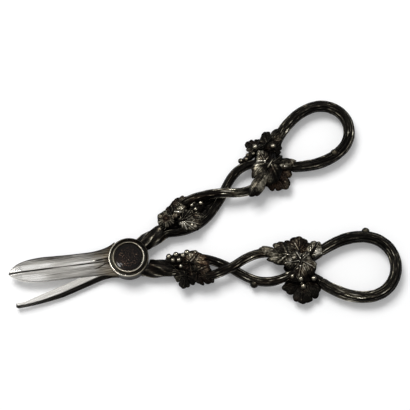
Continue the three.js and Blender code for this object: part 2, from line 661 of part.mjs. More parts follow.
function lowerOrnaments() {
  const arm = LOWER;
  const fork = arm.split;
  const throat = arm.throat;
  const lensBerries = [
    [-4.6, -0.9, 0.6, 1], [-1.5, -1.8, 0.4, 1], [1.6, -1.3, 0.8, 1], [3.4, -3.4, -0.4, 1.15],
    [7, -2.8, -0.4, 1], [-2.8, 1, 1.5, 0.9], [-0.2, 1, 1.6, 0.9], [0.7, 3.7, 1, 0.8],
  ];
  const throatBerries = [
    [-5.5, -1, 0.2, 0.9], [-1.2, -0.4, 1.4, 1], [1.6, -2, 1.8, 1], [5.4, 0.2, 0.6, 1],
    [1.3, 3.6, 1, 1.05], [-3.4, 0.3, 0.8, 0.9],
  ];
  return [
    leafEntry(arm, 'lower_lens_back_leaf', {
      along: fork + 8, across: 0, height: MIDDLE - 1.6,
      heading: 0, length: 7.6, width: 5, fold: 0.2, droop: 0, lean: 0, notch: 0,
    }),
    leafEntry(arm, 'lower_throat_back_leaf', {
      along: throat, across: 0, height: REAR_LEAF_HEIGHT,
      heading: 180, length: 11.5, width: 11, fold: 0.2, droop: -1.3,
    }),
    leafEntry(arm, 'lower_cover_leaf', {
      along: fork + 8, across: -1.6, height: STEM_TOP + 0.6,
      heading: 14, length: 9.6, width: 7, fold: 0.3, droop: 0.8, notch: 0.14,
    }),
    leafEntry(arm, 'lower_curled_leaf', {
      along: fork + 11, across: 2.4, height: STEM_TOP + 0.6,
      heading: 32, length: 9, width: 5.4, fold: 0.4, droop: 0.4,
    }),
    leafEntry(arm, 'lower_small_leaf', {
      along: fork + 6.2, across: 4, height: STEM_TOP + 0.2,
      heading: 100, length: 5.6, width: 6, fold: 0.4, droop: 0.7,
    }),
    {
      name: 'lower_lens_grapes',
      finish: FINISH.grape,
      make: (grow) => grapes(arm, {
        along: fork + 3.4, across: -3.8, height: MIDDLE + 1.6,
        heading: -8, length: 13, width: 5, thick: 2.4,
      }, lensBerries, grow),
    },
    leafEntry(arm, 'lower_throat_leaf', {
      along: throat - 1.4, across: -1.4, height: THROAT_TOP + 0.6,
      heading: 100, length: 7.6, width: 8.6, fold: 0.4, droop: 1.7, notch: 0.2,
    }),
    leafEntry(arm, 'lower_crown_leaf', {
      along: throat - 2.2, across: -6.4, height: STEM_TOP + 0.4,
      heading: -88, length: 7.8, width: 8.8, fold: 0.4, droop: 0.9, notch: 0.14,
    }),
    leafEntry(arm, 'lower_side_leaf', {
      along: throat - 7.4, across: -5.8, height: STEM_TOP + 0.7,
      heading: 194, length: 12.6, width: 5.2, fold: 0.4, droop: 0.8,
    }),
    leafEntry(arm, 'lower_bud_leaf', {
      along: throat + 4, across: -6.4, height: STEM_TOP + 0.9,
      heading: -56, length: 5.4, width: 4.2, fold: 0.1, droop: 0.7, notch: 0,
    }),
    leafEntry(arm, 'lower_foot_leaf', {
      along: throat - 1, across: 7.2, height: MIDDLE + 0.6,
      heading: 92, length: 9.4, width: 9.6, fold: 0.5, droop: 1, notch: 0.16,
    }),
    {
      name: 'lower_throat_grapes',
      finish: FINISH.grape,
      make: (grow) => grapes(arm, {
        along: throat - 1.9, across: 4.6, height: MIDDLE + 2,
        heading: 0, length: 12.5, width: 6, thick: 2.6,
      }, throatBerries, grow),
    },
  ];
}

// One arm's handle: shank, two stems, bow, and what is soldered to them
function handlePieces(arm, prefix, tangBottom, ornaments, overStem, underStem, bowRod) {
  const carrier = stem(arm, 1, FIT).add(stem(arm, -1, FIT)).add(bow(arm, FIT)).add(shankBar(arm, FIT));
  return [
    piece(`${prefix}_shank`, shank(arm, tangBottom), FINISH.stem),
    piece(`${prefix}_strand_over`, overStem, FINISH.stem),
    piece(`${prefix}_strand_under`, underStem, FINISH.stem),
    piece(`${prefix}_bow`, bowRod, FINISH.stem),
    ...seated(carrier, ornaments),
  ];
}

function upperArm() {
  const group = new THREE.Group();
  const bowRod = bow(UPPER).add(bud(UPPER, 252, 0.7)).add(bud(UPPER, 150, -0.7));
  group.add(piece('slim_blade', slimBlade(), FINISH.blade));
  group.add(...handlePieces(
    UPPER, 'upper', SLIM_TOP - TANG_THICKNESS, upperOrnaments(), stem(UPPER, 1), stem(UPPER, -1), bowRod,
  ));
  group.rotation.z = THREE.MathUtils.degToRad(OPENING / 2);
  return group;
}

function lowerArm() {
  const group = new THREE.Group();
  const bowRod = bow(LOWER).add(bud(LOWER, 248, 1));
  group.add(piece('broad_blade', broadBlade(), FINISH.blade));
  group.add(...handlePieces(
    LOWER, 'lower', BROAD_BOTTOM, lowerOrnaments(), stem(LOWER, 1), stem(LOWER, -1).add(twig(LOWER)), bowRod,
  ));
  group.rotation.z = THREE.MathUtils.degToRad(-OPENING / 2);
  return group;
}

function pivot() {
  const group = new THREE.Group();
  group.add(piece('pivot_rivet', pivotRivet(), FINISH.blade));
  group.add(piece('rear_boss', rearBoss(), FINISH.boss));
  group.add(piece('front_boss', frontBoss(), FINISH.boss));
  group.add(piece('medallion', medallion(), FINISH.medallion));
  return group;
}

const shears = new THREE.Group();
shears.add(lowerArm(), upperArm(), pivot());

export default shears;
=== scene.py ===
# %% [markdown]
# Grape shears
#
# This lesson dresses a pair of antique grape shears: two silver blades, a round boss on the pivot, and two
# cast handles made as twisted vine stems with leaves and grapes. The frame that is loaded first has every
# piece at its real place and size. Each step below models one kind of piece finely and lets it stand for the
# plain solid in the frame.

# %% Load the frame
import json
import math

import bmesh
import bpy
from mathutils import Matrix, Vector, noise


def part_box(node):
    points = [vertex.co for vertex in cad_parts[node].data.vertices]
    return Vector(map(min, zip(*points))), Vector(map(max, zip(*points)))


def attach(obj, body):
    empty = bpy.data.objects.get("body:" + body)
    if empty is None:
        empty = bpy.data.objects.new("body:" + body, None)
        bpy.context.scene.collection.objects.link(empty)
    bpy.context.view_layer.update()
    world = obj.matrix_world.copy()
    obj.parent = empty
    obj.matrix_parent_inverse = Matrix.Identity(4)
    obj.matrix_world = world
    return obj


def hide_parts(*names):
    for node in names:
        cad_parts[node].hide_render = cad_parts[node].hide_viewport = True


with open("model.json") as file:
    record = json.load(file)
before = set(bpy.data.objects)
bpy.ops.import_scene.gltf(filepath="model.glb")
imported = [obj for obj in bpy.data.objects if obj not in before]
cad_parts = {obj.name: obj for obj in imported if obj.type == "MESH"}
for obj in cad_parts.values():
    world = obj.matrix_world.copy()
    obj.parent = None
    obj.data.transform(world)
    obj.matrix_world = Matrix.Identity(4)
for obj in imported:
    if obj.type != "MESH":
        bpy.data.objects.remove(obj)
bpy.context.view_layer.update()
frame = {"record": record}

MM = 0.001

# %% [markdown]
# Where things are
#
# Each arm is drawn as if the shears were closed, then swung open about the pivot. A place on a handle is
# given as along, from the pivot to the bow, as across, away from the other handle, and as height. These few
# sizes are the ones that the solids were built from, so what is modelled here lands on them.

# %% The two arms
OPENING = 17.0  # degrees between the arms as they lie
FORK = 18.5  # where a shank divides into two stems
THROAT = 77.0  # where the stems meet again and the bow starts
ARMS = {
    "upper": {"side": 1, "turn": 9.0, "rise": 2.6, "shank": 7.2, "crossing": 51.0,
              "lenses": (5.7, 5.5), "bow": (41.5, 12.9)},
    "lower": {"side": -1, "turn": 7.0, "rise": 4.2, "shank": 8.0, "crossing": 45.5,
              "lenses": (4.6, 6.6), "bow": (41.0, 13.9)},
}
SLIM_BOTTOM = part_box("slim_blade")[0].z / MM
SLIM_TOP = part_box("slim_blade")[1].z / MM
BROAD_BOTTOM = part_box("broad_blade")[0].z / MM
EYE_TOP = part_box("broad_blade")[1].z / MM
BOSS_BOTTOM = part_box("front_boss")[0].z / MM
BOSS_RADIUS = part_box("front_boss")[1].x / MM
MIDDLE = (SLIM_TOP + BROAD_BOTTOM) / 2


def swing(arm, x, y, z):
    """Turns a point of an arm, in mm on the closed shears, to where it lies, in metres."""
    turn = Matrix.Rotation(math.radians(arm["side"] * OPENING / 2), 3, "Z")
    return turn @ Vector((x, y, z)) * MM


def on_handle(arm, along, across, height):
    """Gives the point at that place of a handle, in metres."""
    turn = math.radians(arm["turn"])
    x = along * math.cos(turn) - across * math.sin(turn)
    y = arm["side"] * (arm["rise"] + along * math.sin(turn) + across * math.cos(turn))
    return swing(arm, x, y, height)


print("the arms meet at a height of", round(MIDDLE, 2), "mm")

# %% [markdown]
# The camera
#
# The photograph looks steeply down, a little from the left of the pivot. A long lens from that side keeps
# the handles from spreading towards the viewer. The lens follows from the width of the picture at the shears.

# %% Camera
AZIMUTH = math.radians(-16)
ELEVATION = math.radians(72)
DISTANCE = 0.64
PICTURE_WIDTH = 0.1845
TARGET = Vector((39.5, 15.2, 5.0)) * MM
SENSOR = 36.0


def add_object(name, data):
    """Adds an object that holds some data to the scene."""
    made = bpy.data.objects.new(name, data)
    bpy.context.scene.collection.objects.link(made)
    return made


back = Vector((
    math.sin(AZIMUTH) * math.cos(ELEVATION),
    -math.cos(AZIMUTH) * math.cos(ELEVATION),
    math.sin(ELEVATION),
))
camera_data = bpy.data.cameras.new("camera")
camera_data.sensor_width = SENSOR
camera_data.lens = SENSOR * DISTANCE / PICTURE_WIDTH
camera = add_object("camera", camera_data)
camera.location = TARGET + back * DISTANCE
camera.rotation_euler = back.to_track_quat("Z", "Y").to_euler()
bpy.context.scene.camera = camera
print("lens in mm:", round(camera_data.lens, 1))

# %% [markdown]
# Adding nodes
#
# Every finish below is built from nodes. One helper adds a node, sets what it is given and links the sockets
# it is given, and a second one does so for sums. Colours are written as the eye reads them on a screen and
# turned to linear light here.

# %% Node helper


def linear(hex_colour):
    """Turns an sRGB hex colour into linear RGBA."""
    channels = [int(hex_colour[i:i + 2], 16) / 255 for i in (1, 3, 5)]
    light = [c / 12.92 if c <= 0.04045 else ((c + 0.055) / 1.055) ** 2.4 for c in channels]
    return light + [1.0]


def add_node(tree, kind, inputs=None, stops=None, **settings):
    """Adds a node with its settings, its input values or links, and the stops of a colour ramp."""
    node = tree.nodes.new(kind)
    for name, value in settings.items():
        setattr(node, name, value)
    for name, value in (inputs or {}).items():
        if isinstance(value, bpy.types.NodeSocket):
            tree.links.new(value, node.inputs[name])
        else:
            node.inputs[name].default_value = value
    for index, (position, colour) in enumerate(stops or []):
        elements = node.color_ramp.elements
        element = elements[index] if index < 2 else elements.new(position)
        element.position = position
        element.color = linear(colour)
    return node


def add_sum(tree, operation, *values, clamp=False):
    """Adds a node that works out values or sockets by an operation, and gives its result."""
    node = add_node(tree, "ShaderNodeMath", dict(enumerate(values)), operation=operation, use_clamp=clamp)
    return node.outputs[0]


def new_material(name):
    """Makes a material and gives its node tree and its main shader."""
    material = bpy.data.materials.new(name)
    material.use_nodes = True
    return material, material.node_tree, material.node_tree.nodes["Principled BSDF"]


print("two helpers add the nodes")

# %% [markdown]
# The table and the light
#
# The shears lie on a plain white ground. One large soft lamp stands behind and to the left and lights the
# table, so that a soft shadow falls to the front and right. Metal shows whatever is round it, so four
# smaller lamps show only in the metal, and each puts a glint on one side of the ridges. The room is
# brighter overhead than at eye level. To the camera the ground is lifted a little, so that it reads as
# white, and it keeps the shadow.

# %% Floor, world and lamps
FLOOR_SIZE = 3.0
FLOOR_COLOUR = "#f4f4f4"
FLOOR_LIFT = 0.12
ROOM_STOPS = [(0.0, "#6f7072"), (0.5, "#a9aaab"), (1.0, "#c4c4c4")]
LAMPS = {
    "shadow_lamp": {"at": (-0.24, 0.70, 1.38), "size": 0.8, "watts": 18.0, "on_metal": False},
    "left_glint": {"at": (-0.50, 0.32, 0.55), "size": 0.3, "watts": 2.4, "on_metal": True},
    "right_glint": {"at": (0.28, 0.36, 0.75), "size": 0.16, "watts": 2.5, "on_metal": True},
    "top_glint": {"at": (0.0, 0.1, 0.9), "size": 0.8, "watts": 0.7, "on_metal": True},
    "back_glint": {"at": (0.1, 0.62, 0.62), "size": 0.5, "watts": 0.3, "on_metal": True},
}


def white_ground():
    """Matt white card. Where the eye or a gloss meets it, it glows a little, so that it reads as white."""
    material, tree, shader = new_material("matt_white_card")
    shader.inputs["Base Color"].default_value = linear(FLOOR_COLOUR)
    shader.inputs["Roughness"].default_value = 0.9
    shader.inputs["Specular IOR Level"].default_value = 0.0
    path = add_node(tree, "ShaderNodeLightPath")
    shown = path.outputs["Is Camera Ray"]
    for ray in ("Is Glossy Ray", "Is Transmission Ray"):
        shown = add_sum(tree, "MAXIMUM", shown, path.outputs[ray])
    lift = add_sum(tree, "MULTIPLY", shown, FLOOR_LIFT)
    shader.inputs["Emission Color"].default_value = linear("#ffffff")
    tree.links.new(lift, shader.inputs["Emission Strength"])
    return material


def make_floor():
    """A wide flat sheet at the height of the shears' rest face."""
    bm = bmesh.new()
    bmesh.ops.create_grid(bm, x_segments=1, y_segments=1, size=FLOOR_SIZE / 2)
    mesh = bpy.data.meshes.new("floor")
    bm.to_mesh(mesh)
    bm.free()
    mesh.materials.append(white_ground())
    floor = add_object("floor", mesh)


def make_room():
    """Soft room light that grows from the horizon to the ceiling."""
    world = bpy.data.worlds.new("room")
    world.use_nodes = True
    tree = world.node_tree
    coords = add_node(tree, "ShaderNodeTexCoord")
    split = add_node(tree, "ShaderNodeSeparateXYZ", {"Vector": coords.outputs["Generated"]})
    ramp = add_node(tree, "ShaderNodeValToRGB", {"Fac": split.outputs["Z"]}, stops=ROOM_STOPS)
    tree.links.new(ramp.outputs["Color"], tree.nodes["Background"].inputs["Color"])
    bpy.context.scene.world = world


def make_lamp(name, at, size, watts, on_metal):
    """A square soft box that faces the shears. It shows in the metal, or it lights the table."""
    data = bpy.data.lights.new(name, "AREA")
    data.energy = watts
    data.size = size
    lamp = add_object(name, data)
    lamp.location = TARGET + Vector(at)
    lamp.rotation_euler = Vector(at).to_track_quat("Z", "Y").to_euler()
    lamp.visible_glossy = on_metal
    lamp.visible_diffuse = not on_metal


make_floor()
make_room()
for lamp_name, lamp in LAMPS.items():
    make_lamp(lamp_name, **lamp)
bpy.context.scene.view_settings.view_transform = "Standard"
print("floor, room and", len(LAMPS), "lamps")

# %% [markdown]
# Silver finishes
#
# The handles are cast and silver-plated, then blackened with sulphur. Handling has polished the oxide off
# what stands proud, so ridges, veins and berries shine and every hollow stays black. Each mesh carries a
# number for wear, near 1 on what stands proud. Painted light is added into the same number: painted
# highlights on berry tops, on one side of the boss and of some leaves and rods, and along the blades, and
# painted shade under the front boss, on leaves that lie under others and on the blades' sloped sides and
# backs. The finish adds a fine grain to it, and a ramp turns it from black oxide through a grey to bare
# silver. A second number, warmth, brings in the brown of old lacquer and rust, as on some leaves and near the
# boss. Bare silver is also smoother than oxide. The blades have the same finish with far less oxide, and its
# grain is drawn out along them by the buff.

# %% Silver finishes
OXIDE = [(0.0, "#0b0a09"), (0.4, "#1c1a17"), (0.6, "#48443a"), (0.8, "#8d8777"), (1.0, "#d9d4c6")]
WARM_OXIDE = [(0.0, "#0d0907"), (0.4, "#2a1b14"), (0.6, "#54402f"), (0.8, "#8f7c62"), (1.0, "#d5c9b3")]
BRIGHT = [(0.0, "#12100e"), (0.35, "#4d4a46"), (0.6, "#a5a29c"), (0.8, "#c9c6c0"), (1.0, "#f1efeb")]
WARM_BRIGHT = [(0.0, "#130f0a"), (0.35, "#4a4031"), (0.6, "#8a7f6a"), (0.8, "#b3a994"), (1.0, "#e2dbca")]
DARK_CHASED = [(0.0, "#070605"), (0.4, "#0e0907"), (0.65, "#2e211a"), (0.85, "#5f5040"), (1.0, "#a39682")]
PATCH_SIZE = 5.0  # mm across a patch of brown
PATCH_SPREAD = 0.8  # how far patches add to the warmth, or take from it
PIT_DEPTH = 0.2  # of the grain's size


def with_patches(tree, number, pattern, spread):
    """A number that the mesh carries, with a pattern that adds to it or takes from it, between 0 and 1."""
    carried = add_node(tree, "ShaderNodeAttribute", attribute_name=number)
    patches = add_sum(tree, "MULTIPLY_ADD", pattern.outputs["Fac"], 2 * spread, -spread)
    return add_sum(tree, "ADD", carried.outputs["Fac"], patches, clamp=True)


def oxide_colour(tree, place, bare, cold, warm):
    """The colour of silver that is bare or black, grey where it is cold and brown in warm patches."""
    blotch = add_node(tree, "ShaderNodeTexNoise", {"Vector": place, "Scale": 1 / (PATCH_SIZE * MM),
                      "Detail": 3.0})
    tint = with_patches(tree, "warmth", blotch, PATCH_SPREAD)
    colour = add_node(tree, "ShaderNodeMix", {"Factor": tint}, data_type="RGBA")
    for socket, stops in ((6, cold), (7, warm)):
        ramp = add_node(tree, "ShaderNodeValToRGB", {"Fac": bare}, stops=stops)
        tree.links.new(ramp.outputs["Color"], colour.inputs[socket])
    return colour.outputs[2]


def silver(name, grain, stretch, speck, rough, cold, warm, coat=0.0):
    """Silver with oxide in its hollows. grain is the size of its mottling in mm, stretch draws that out."""
    material, tree, shader = new_material(name)
    coords = add_node(tree, "ShaderNodeTexCoord")
    drawn = add_node(tree, "ShaderNodeMapping", {"Vector": coords.outputs["UV" if stretch > 1 else "Object"],
                     "Scale": (1 / stretch, 1.0, 1.0)})
    mottle = add_node(tree, "ShaderNodeTexNoise", {"Vector": drawn.outputs["Vector"],
                      "Scale": 1 / (grain * MM), "Detail": 5.0, "Roughness": 0.62})
    bare = with_patches(tree, "wear_and_light", mottle, speck)
    colour = oxide_colour(tree, coords.outputs["Object"], bare, cold, warm)
    tree.links.new(colour, shader.inputs["Base Color"])
    shader.inputs["Metallic"].default_value = 1.0
    shader.inputs["Coat Weight"].default_value = coat
    shader.inputs["Coat Roughness"].default_value = 0.03
    gloss = add_node(tree, "ShaderNodeMapRange", {"Value": bare, "To Min": rough[0], "To Max": rough[1]})
    tree.links.new(gloss.outputs["Result"], shader.inputs["Roughness"])
    bump = add_node(tree, "ShaderNodeBump", {"Height": mottle.outputs["Fac"], "Strength": 0.5,
                    "Distance": PIT_DEPTH * grain * MM})
    tree.links.new(bump.outputs["Normal"], shader.inputs["Normal"])
    return material


# cast bark: matt black in its hollows, with broken bright lines on its ridges
bark_silver = silver("oxidised_bark_silver", 0.45, 4.0, 0.6, (0.52, 0.36), OXIDE, WARM_OXIDE)
# chased leaves: mottled grey, with bright veins and a soft sheen
leaf_silver = silver("oxidised_leaf_silver", 0.8, 1.0, 0.35, (0.46, 0.26), OXIDE, WARM_OXIDE)
# cast berries: smooth, with one small glint each
grape_silver = silver("oxidised_grape_silver", 0.6, 1.0, 0.2, (0.4, 0.2), OXIDE, WARM_OXIDE)
# turned rings: bright lines beside black channels, the lines partly painted highlight
boss_silver = silver("turned_boss_silver", 0.5, 1.0, 0.25, (0.42, 0.26), OXIDE, WARM_OXIDE)
# lacquered relief: near black, with brown specks and a clear glint from the lacquer
medallion_silver = silver("chased_medallion_silver", 0.6, 1.0, 0.6, (0.32, 0.3), DARK_CHASED, DARK_CHASED,
                          coat=0.25)
# buffed blades: pale, with fine streaks along them that are drawn wider than real ones, so that they show
blade_silver = silver("polished_blade_silver", 0.35, 40.0, 0.7, (0.42, 0.24), BRIGHT, WARM_BRIGHT)
print("silver on bark, leaves, grapes, boss, medallion and blades")

# %% [markdown]
# Starting and finishing a piece
#
# Each piece starts as an empty mesh that can hold the wear of its points, with the painted light and shade
# that is added to it, and their warmth, and a map that gives millimetres along and across where a pattern has
# to follow the shape. Finishing it turns its faces outwards, smooths it but for its sharp edges, and hands it
# to the frame. On a very thin leaf the faces can come out all pointing inwards, which shows as a negative
# volume, and then they are turned round.

# %% Piece helpers
BODY_OF = {node: body for body, nodes in frame["record"]["behaviour"]["bodies"].items() for node in nodes}
SHARP_ANGLE = math.radians(48)


def new_piece():
    """An empty mesh with its two numbers and its map."""
    bm = bmesh.new()
    bm.verts.layers.float.new("wear_and_light")
    bm.verts.layers.float.new("warmth")
    bm.loops.layers.uv.new("map")
    return bm


def set_wear_and_light(bm, vert, wear_and_light, warmth=0.0):
    """Stores how far the oxide is worn off at a point, with any painted highlight or painted shade added in,
    and how brown it is.
    """
    vert[bm.verts.layers.float["wear_and_light"]] = max(0.0, min(1.0, wear_and_light))
    vert[bm.verts.layers.float["warmth"]] = warmth


def finish_piece(bm, node, material):
    """Makes the mesh a piece that stands for a node of the frame and moves with its body."""
    bmesh.ops.recalc_face_normals(bm, faces=bm.faces)
    if bm.calc_volume(signed=True) < 0:
        bmesh.ops.reverse_faces(bm, faces=bm.faces)
    mesh = bpy.data.meshes.new(node + "_silver")
    bm.to_mesh(mesh)
    bm.free()
    mesh.shade_smooth()
    mesh.set_sharp_from_angle(angle=SHARP_ANGLE)
    mesh.materials.append(material)
    piece = add_object(node + "_silver", mesh)
    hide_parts(node)
    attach(piece, BODY_OF[node])


print(len(BODY_OF), "nodes to dress")

# %% [markdown]
# Rods of bark
#
# The stems and bows are rods with long ridges of bark. A curve with a bevel would give a smooth tube, so
# here a flat grid is rolled round the path instead: one side of the grid runs along the rod and the other
# round it, and its two long edges are merged. The ridges come from waves round the rod that drift slowly
# along it, stray and break, and the crest of each ridge is worn bright. A bow has finer bark than a stem,
# and a shank has a few broad ridges.

# %% Rod helpers
BARK_DEPTH = 0.12  # of the radius
# ridges is their number round a rod, breaks how often they break along it, wander how far they stray,
# worn how bare the hollows are, contrast how much barer the crests are, and warmth how brown they are
STEM_BARK = {"ridges": 11, "breaks": 0.26, "wander": 0.0, "worn": 0.16, "contrast": 1.0, "warmth": 0.0}
BOW_BARK = {"ridges": 14, "breaks": 0.32, "wander": 1.2, "worn": 0.15, "contrast": 0.8, "warmth": -0.4}
SHANK_BARK = {**STEM_BARK, "ridges": 7}
CAST_SWELL = 1.06  # of the radius, over the ridges of a solid
# rubbed patches on rods are worn bright and carry a painted highlight as well
RUB_AND_HIGHLIGHT_SPAN = 0.1  # share of a rod that is rubbed bright, to each side
SPLINE_STEPS = 16  # between two points of a path
UP = Vector((0.0, 0.0, 1.0))


def mix(a, b, share):
    """A value between a and b, held at the ends."""
    return a + (b - a) * max(0.0, min(1.0, share))


def stroke(offset, width):
    """1 in the middle of a soft stroke, falling to 0 on both sides of it."""
    return math.exp(-(offset / width) ** 2)


def smooth_path(points, steps):
    """Runs an even path through points: a centripetal spline, measured off in equal steps."""
    ends = [2 * points[0] - points[1]] + points + [2 * points[-1] - points[-2]]
    fine = []
    for a, b, c, d in zip(ends, ends[1:], ends[2:], ends[3:]):
        first, middle, last = [max((q - p).length, 1e-9) ** 0.5 for p, q in ((a, b), (b, c), (c, d))]
        leave = ((b - a) / first - (c - a) / (first + middle) + (c - b) / middle) * middle
        reach = ((c - b) / middle - (d - b) / (middle + last) + (d - c) / last) * middle
        for i in range(SPLINE_STEPS):
            t = i / SPLINE_STEPS
            bend = (2 * t ** 3 - 3 * t ** 2 + 1) * b + (t ** 3 - 2 * t ** 2 + t) * leave
            fine.append(bend + (3 * t ** 2 - 2 * t ** 3) * c + (t ** 3 - t ** 2) * reach)
    fine.append(points[-1])
    lengths = [0.0]
    for a, b in zip(fine, fine[1:]):
        lengths.append(lengths[-1] + (b - a).length)
    path, at = [], 0
    for i in range(steps + 1):
        want = lengths[-1] * i / steps
        while at < len(fine) - 2 and lengths[at + 1] < want:
            at += 1
        share = (want - lengths[at]) / (lengths[at + 1] - lengths[at])
        path.append(fine[at].lerp(fine[at + 1], min(1.0, share)))
    return path


def path_length(path):
    """Length of a path in mm."""
    return sum((b - a).length for a, b in zip(path, path[1:])) / MM


def roll_grid(bm, columns, rows, length, girth, place):
    """Rolls a grid into a closed rod. place gives a point, its wear with any painted highlight, and its
    warmth, along and round.
    """
    made = bmesh.ops.create_grid(bm, x_segments=columns, y_segments=rows, size=0.5, calc_uvs=True)
    verts = made["verts"]
    uv = bm.loops.layers.uv["map"]
    for face in {face for vert in verts for face in vert.link_faces}:
        for loop in face.loops:
            loop[uv].uv = ((loop.vert.co.x + 0.5) * length * MM, (loop.vert.co.y + 0.5) * girth * MM)
    for vert in verts:
        vert.co, wear_and_light, warmth = place(vert.co.x + 0.5, vert.co.y + 0.5)
        set_wear_and_light(bm, vert, wear_and_light, warmth)
    bmesh.ops.remove_doubles(bm, verts=verts, dist=1e-7)
    open_edges = [edge for edge in bm.edges if edge.is_boundary]
    bmesh.ops.holes_fill(bm, edges=open_edges, sides=0)


def bark(run, angle, seed, kind):
    """Height of the bark and its wear, at run mm along a rod and at an angle round it."""
    drift = 0.5 * math.sin(run / 17 + seed) + 0.2 * math.sin(run / 7 + 2 * seed)
    around = Vector((0.0, 2.2 * math.cos(angle), 2.2 * math.sin(angle) + 9 * seed))
    stray = kind["wander"] * noise.noise(around + Vector((0.3 * run, 0.0, 7.0)))
    ridge = (0.5 + 0.5 * math.cos(kind["ridges"] * angle + 1.6 * drift + stray + seed)) ** 3
    rough = noise.noise(around + Vector((0.12 * run, 0.0, 0.0)))
    broken = noise.noise(1.6 * around + Vector((kind["breaks"] * run, 5.0, 0.0)))
    lift = ridge * (0.75 + 0.4 * broken) + 0.35 * rough - 0.4
    return lift, kind["worn"] + kind["contrast"] * (ridge * (0.3 + broken) + 0.4 * rough)


def add_rod(bm, path, sides, radius_at, seed, kind=STEM_BARK, twist=0.0, rubbed=(0.5, 0.0)):
    """Adds a rod of bark along a path. radius_at gives its half width and half height in mm for a share.

    The last argument gives the share where the rod is rubbed brightest and has a painted highlight, and how
    much brighter it is there.
    """
    steps = len(path) - 1
    length = path_length(path)

    def place(share, round_share):
        step = round(share * steps)
        ahead = (path[min(step + 1, steps)] - path[max(step - 1, 0)]).normalized()
        aside = ahead.cross(UP).normalized()
        above = aside.cross(ahead)
        angle = 2 * math.pi * round_share
        wide, high = radius_at(share)
        lift, wear_and_light = bark(share * length, angle + twist * share, seed, kind)
        swell = CAST_SWELL + BARK_DEPTH * lift
        offset = aside * (math.cos(angle) * wide * swell) + above * (math.sin(angle) * high * swell)
        shine = rubbed[1] * stroke(share - rubbed[0], RUB_AND_HIGHLIGHT_SPAN)
        return path[step] + offset * MM, wear_and_light + shine, kind["warmth"]

    wide, high = radius_at(0.5)
    roll_grid(bm, steps, sides, length, math.pi * (wide + high), place)


print("stems have", STEM_BARK["ridges"], "ridges")

# %% [markdown]
# Stems, bows and shanks
#
# On each handle the shank divides into two stems. They bow apart, cross, bow apart again and cross once more
# at the throat, and then they run into the finger bow. The path of a stem repeats the one in the frame's
# solids: half waves for the two lenses, and heights that let one stem pass over the other. The shank is the
# same kind of rod, flattened and twisted, so its ridges wind round it.

# %% Stems, bows and shanks
STEM_ROOT, STEM, STEM_THROAT, BOW = 1.65, 1.95, 1.7, 2.4  # radii
JOIN = (STEM + BOW) / 2
GAP = 0.3
BOW_START = 50.0  # degrees round the bow
END_GAP = 0.5
EGG = 0.75  # how pointed the bow is at the throat
HUB = BOSS_RADIUS + GAP
SHANK_HEIGHT = 5.6
SHANK_ROOT, SHANK_END = 0.55 * HUB, FORK + 1.8  # what lies inside the hub is pushed out to its rim
BUD = 1.85
BUD_SHARE = 0.3  # of the second lens, where a lower stem has a bud
STEM_STEPS, BOW_STEPS, SHANK_STEPS = 190, 260, 80
ROD_SIDES, BOW_SIDES = 72, 96
BOW_POINTS = 28


def bow_point(arm, degrees, beside=0.0):
    """A point on the egg-shaped centre line of a bow, or beside it."""
    turn = math.radians(degrees)
    length, half = arm["bow"]
    widest = 2 * ((1 + EGG) / (2 + EGG)) ** ((1 + EGG) / 2) / math.sqrt(2 + EGG)
    along = THROAT + length * (1 - math.cos(turn)) / 2
    swell = math.sin(turn) * math.sin(turn / 2) ** EGG
    return on_handle(arm, along, (half / widest + beside) * swell, MIDDLE)


def stem_points(arm, way):
    """Points along a stem. way is 1 for the stem that passes over at the crossing, and -1 for its twin."""
    first, second = arm["lenses"]
    lift = STEM * CAST_SWELL + GAP / 2
    throat_lift = STEM_THROAT * CAST_SWELL + GAP
    root = math.asin((STEM_ROOT * CAST_SWELL + GAP / 2) / first)
    start = FORK + STEM_ROOT
    points = [on_handle(arm, FORK + GAP, way * first * math.sin(root), MIDDLE)]
    for i in range(6):
        share = i / 6
        across = way * first * math.sin(mix(root, math.pi, share))
        rise = lift * (1 - math.cos(math.pi * share)) / 2
        points.append(on_handle(arm, mix(start, arm["crossing"], share), across, MIDDLE + way * rise))
    for i in range(7):
        share = i / 6
        across = -way * second * math.sin(math.pi * share)
        height = (lift if share < 0.5 else throat_lift) * math.cos(math.pi * share)
        points.append(on_handle(arm, mix(arm["crossing"], THROAT, share), across, MIDDLE + way * height))
    for share in (0.7, 1.0):
        degrees = share * BOW_START - END_GAP
        point = bow_point(arm, degrees if way > 0 else 360 - degrees)
        point.z -= way * throat_lift * (1 + math.cos(math.pi * share)) / 2 * MM
        points.append(point)
    return points


def stem_radius(share):
    """Half width and half height of a stem."""
    radius = mix(STEM_ROOT, STEM, share / 0.2)
    if share > 0.2:
        radius = mix(STEM, STEM_THROAT, (share - 0.65) / 0.17)
    if share > 0.82:
        radius = mix(STEM_THROAT, JOIN, (share - 0.92) / 0.08)
    return radius, radius


def bow_radius(share):
    """Half width and half height of a bow, which tapers into the stems at its ends."""
    end = min(share, 1 - share)
    radius = mix(0.7 * JOIN, JOIN, end / 0.02) if end < 0.02 else mix(JOIN, BOW, (end - 0.02) * 8)
    return radius, radius


def add_bead(bm, at, radius, wear_and_light):
    """Adds a small ball, worn on top and given a painted highlight there, with painted shade underneath: a
    bud or a berry.
    """
    made = bmesh.ops.create_icosphere(bm, subdivisions=3, radius=radius * MM, matrix=Matrix.Translation(at))
    for vert in made["verts"]:
        rise = (vert.co.z - at.z) / (radius * MM)
        # lighter on top and darker underneath: wear, plus a painted highlight and painted shade
        set_wear_and_light(bm, vert, wear_and_light * (0.2 + 0.68 * max(0.0, rise) ** 1.3))


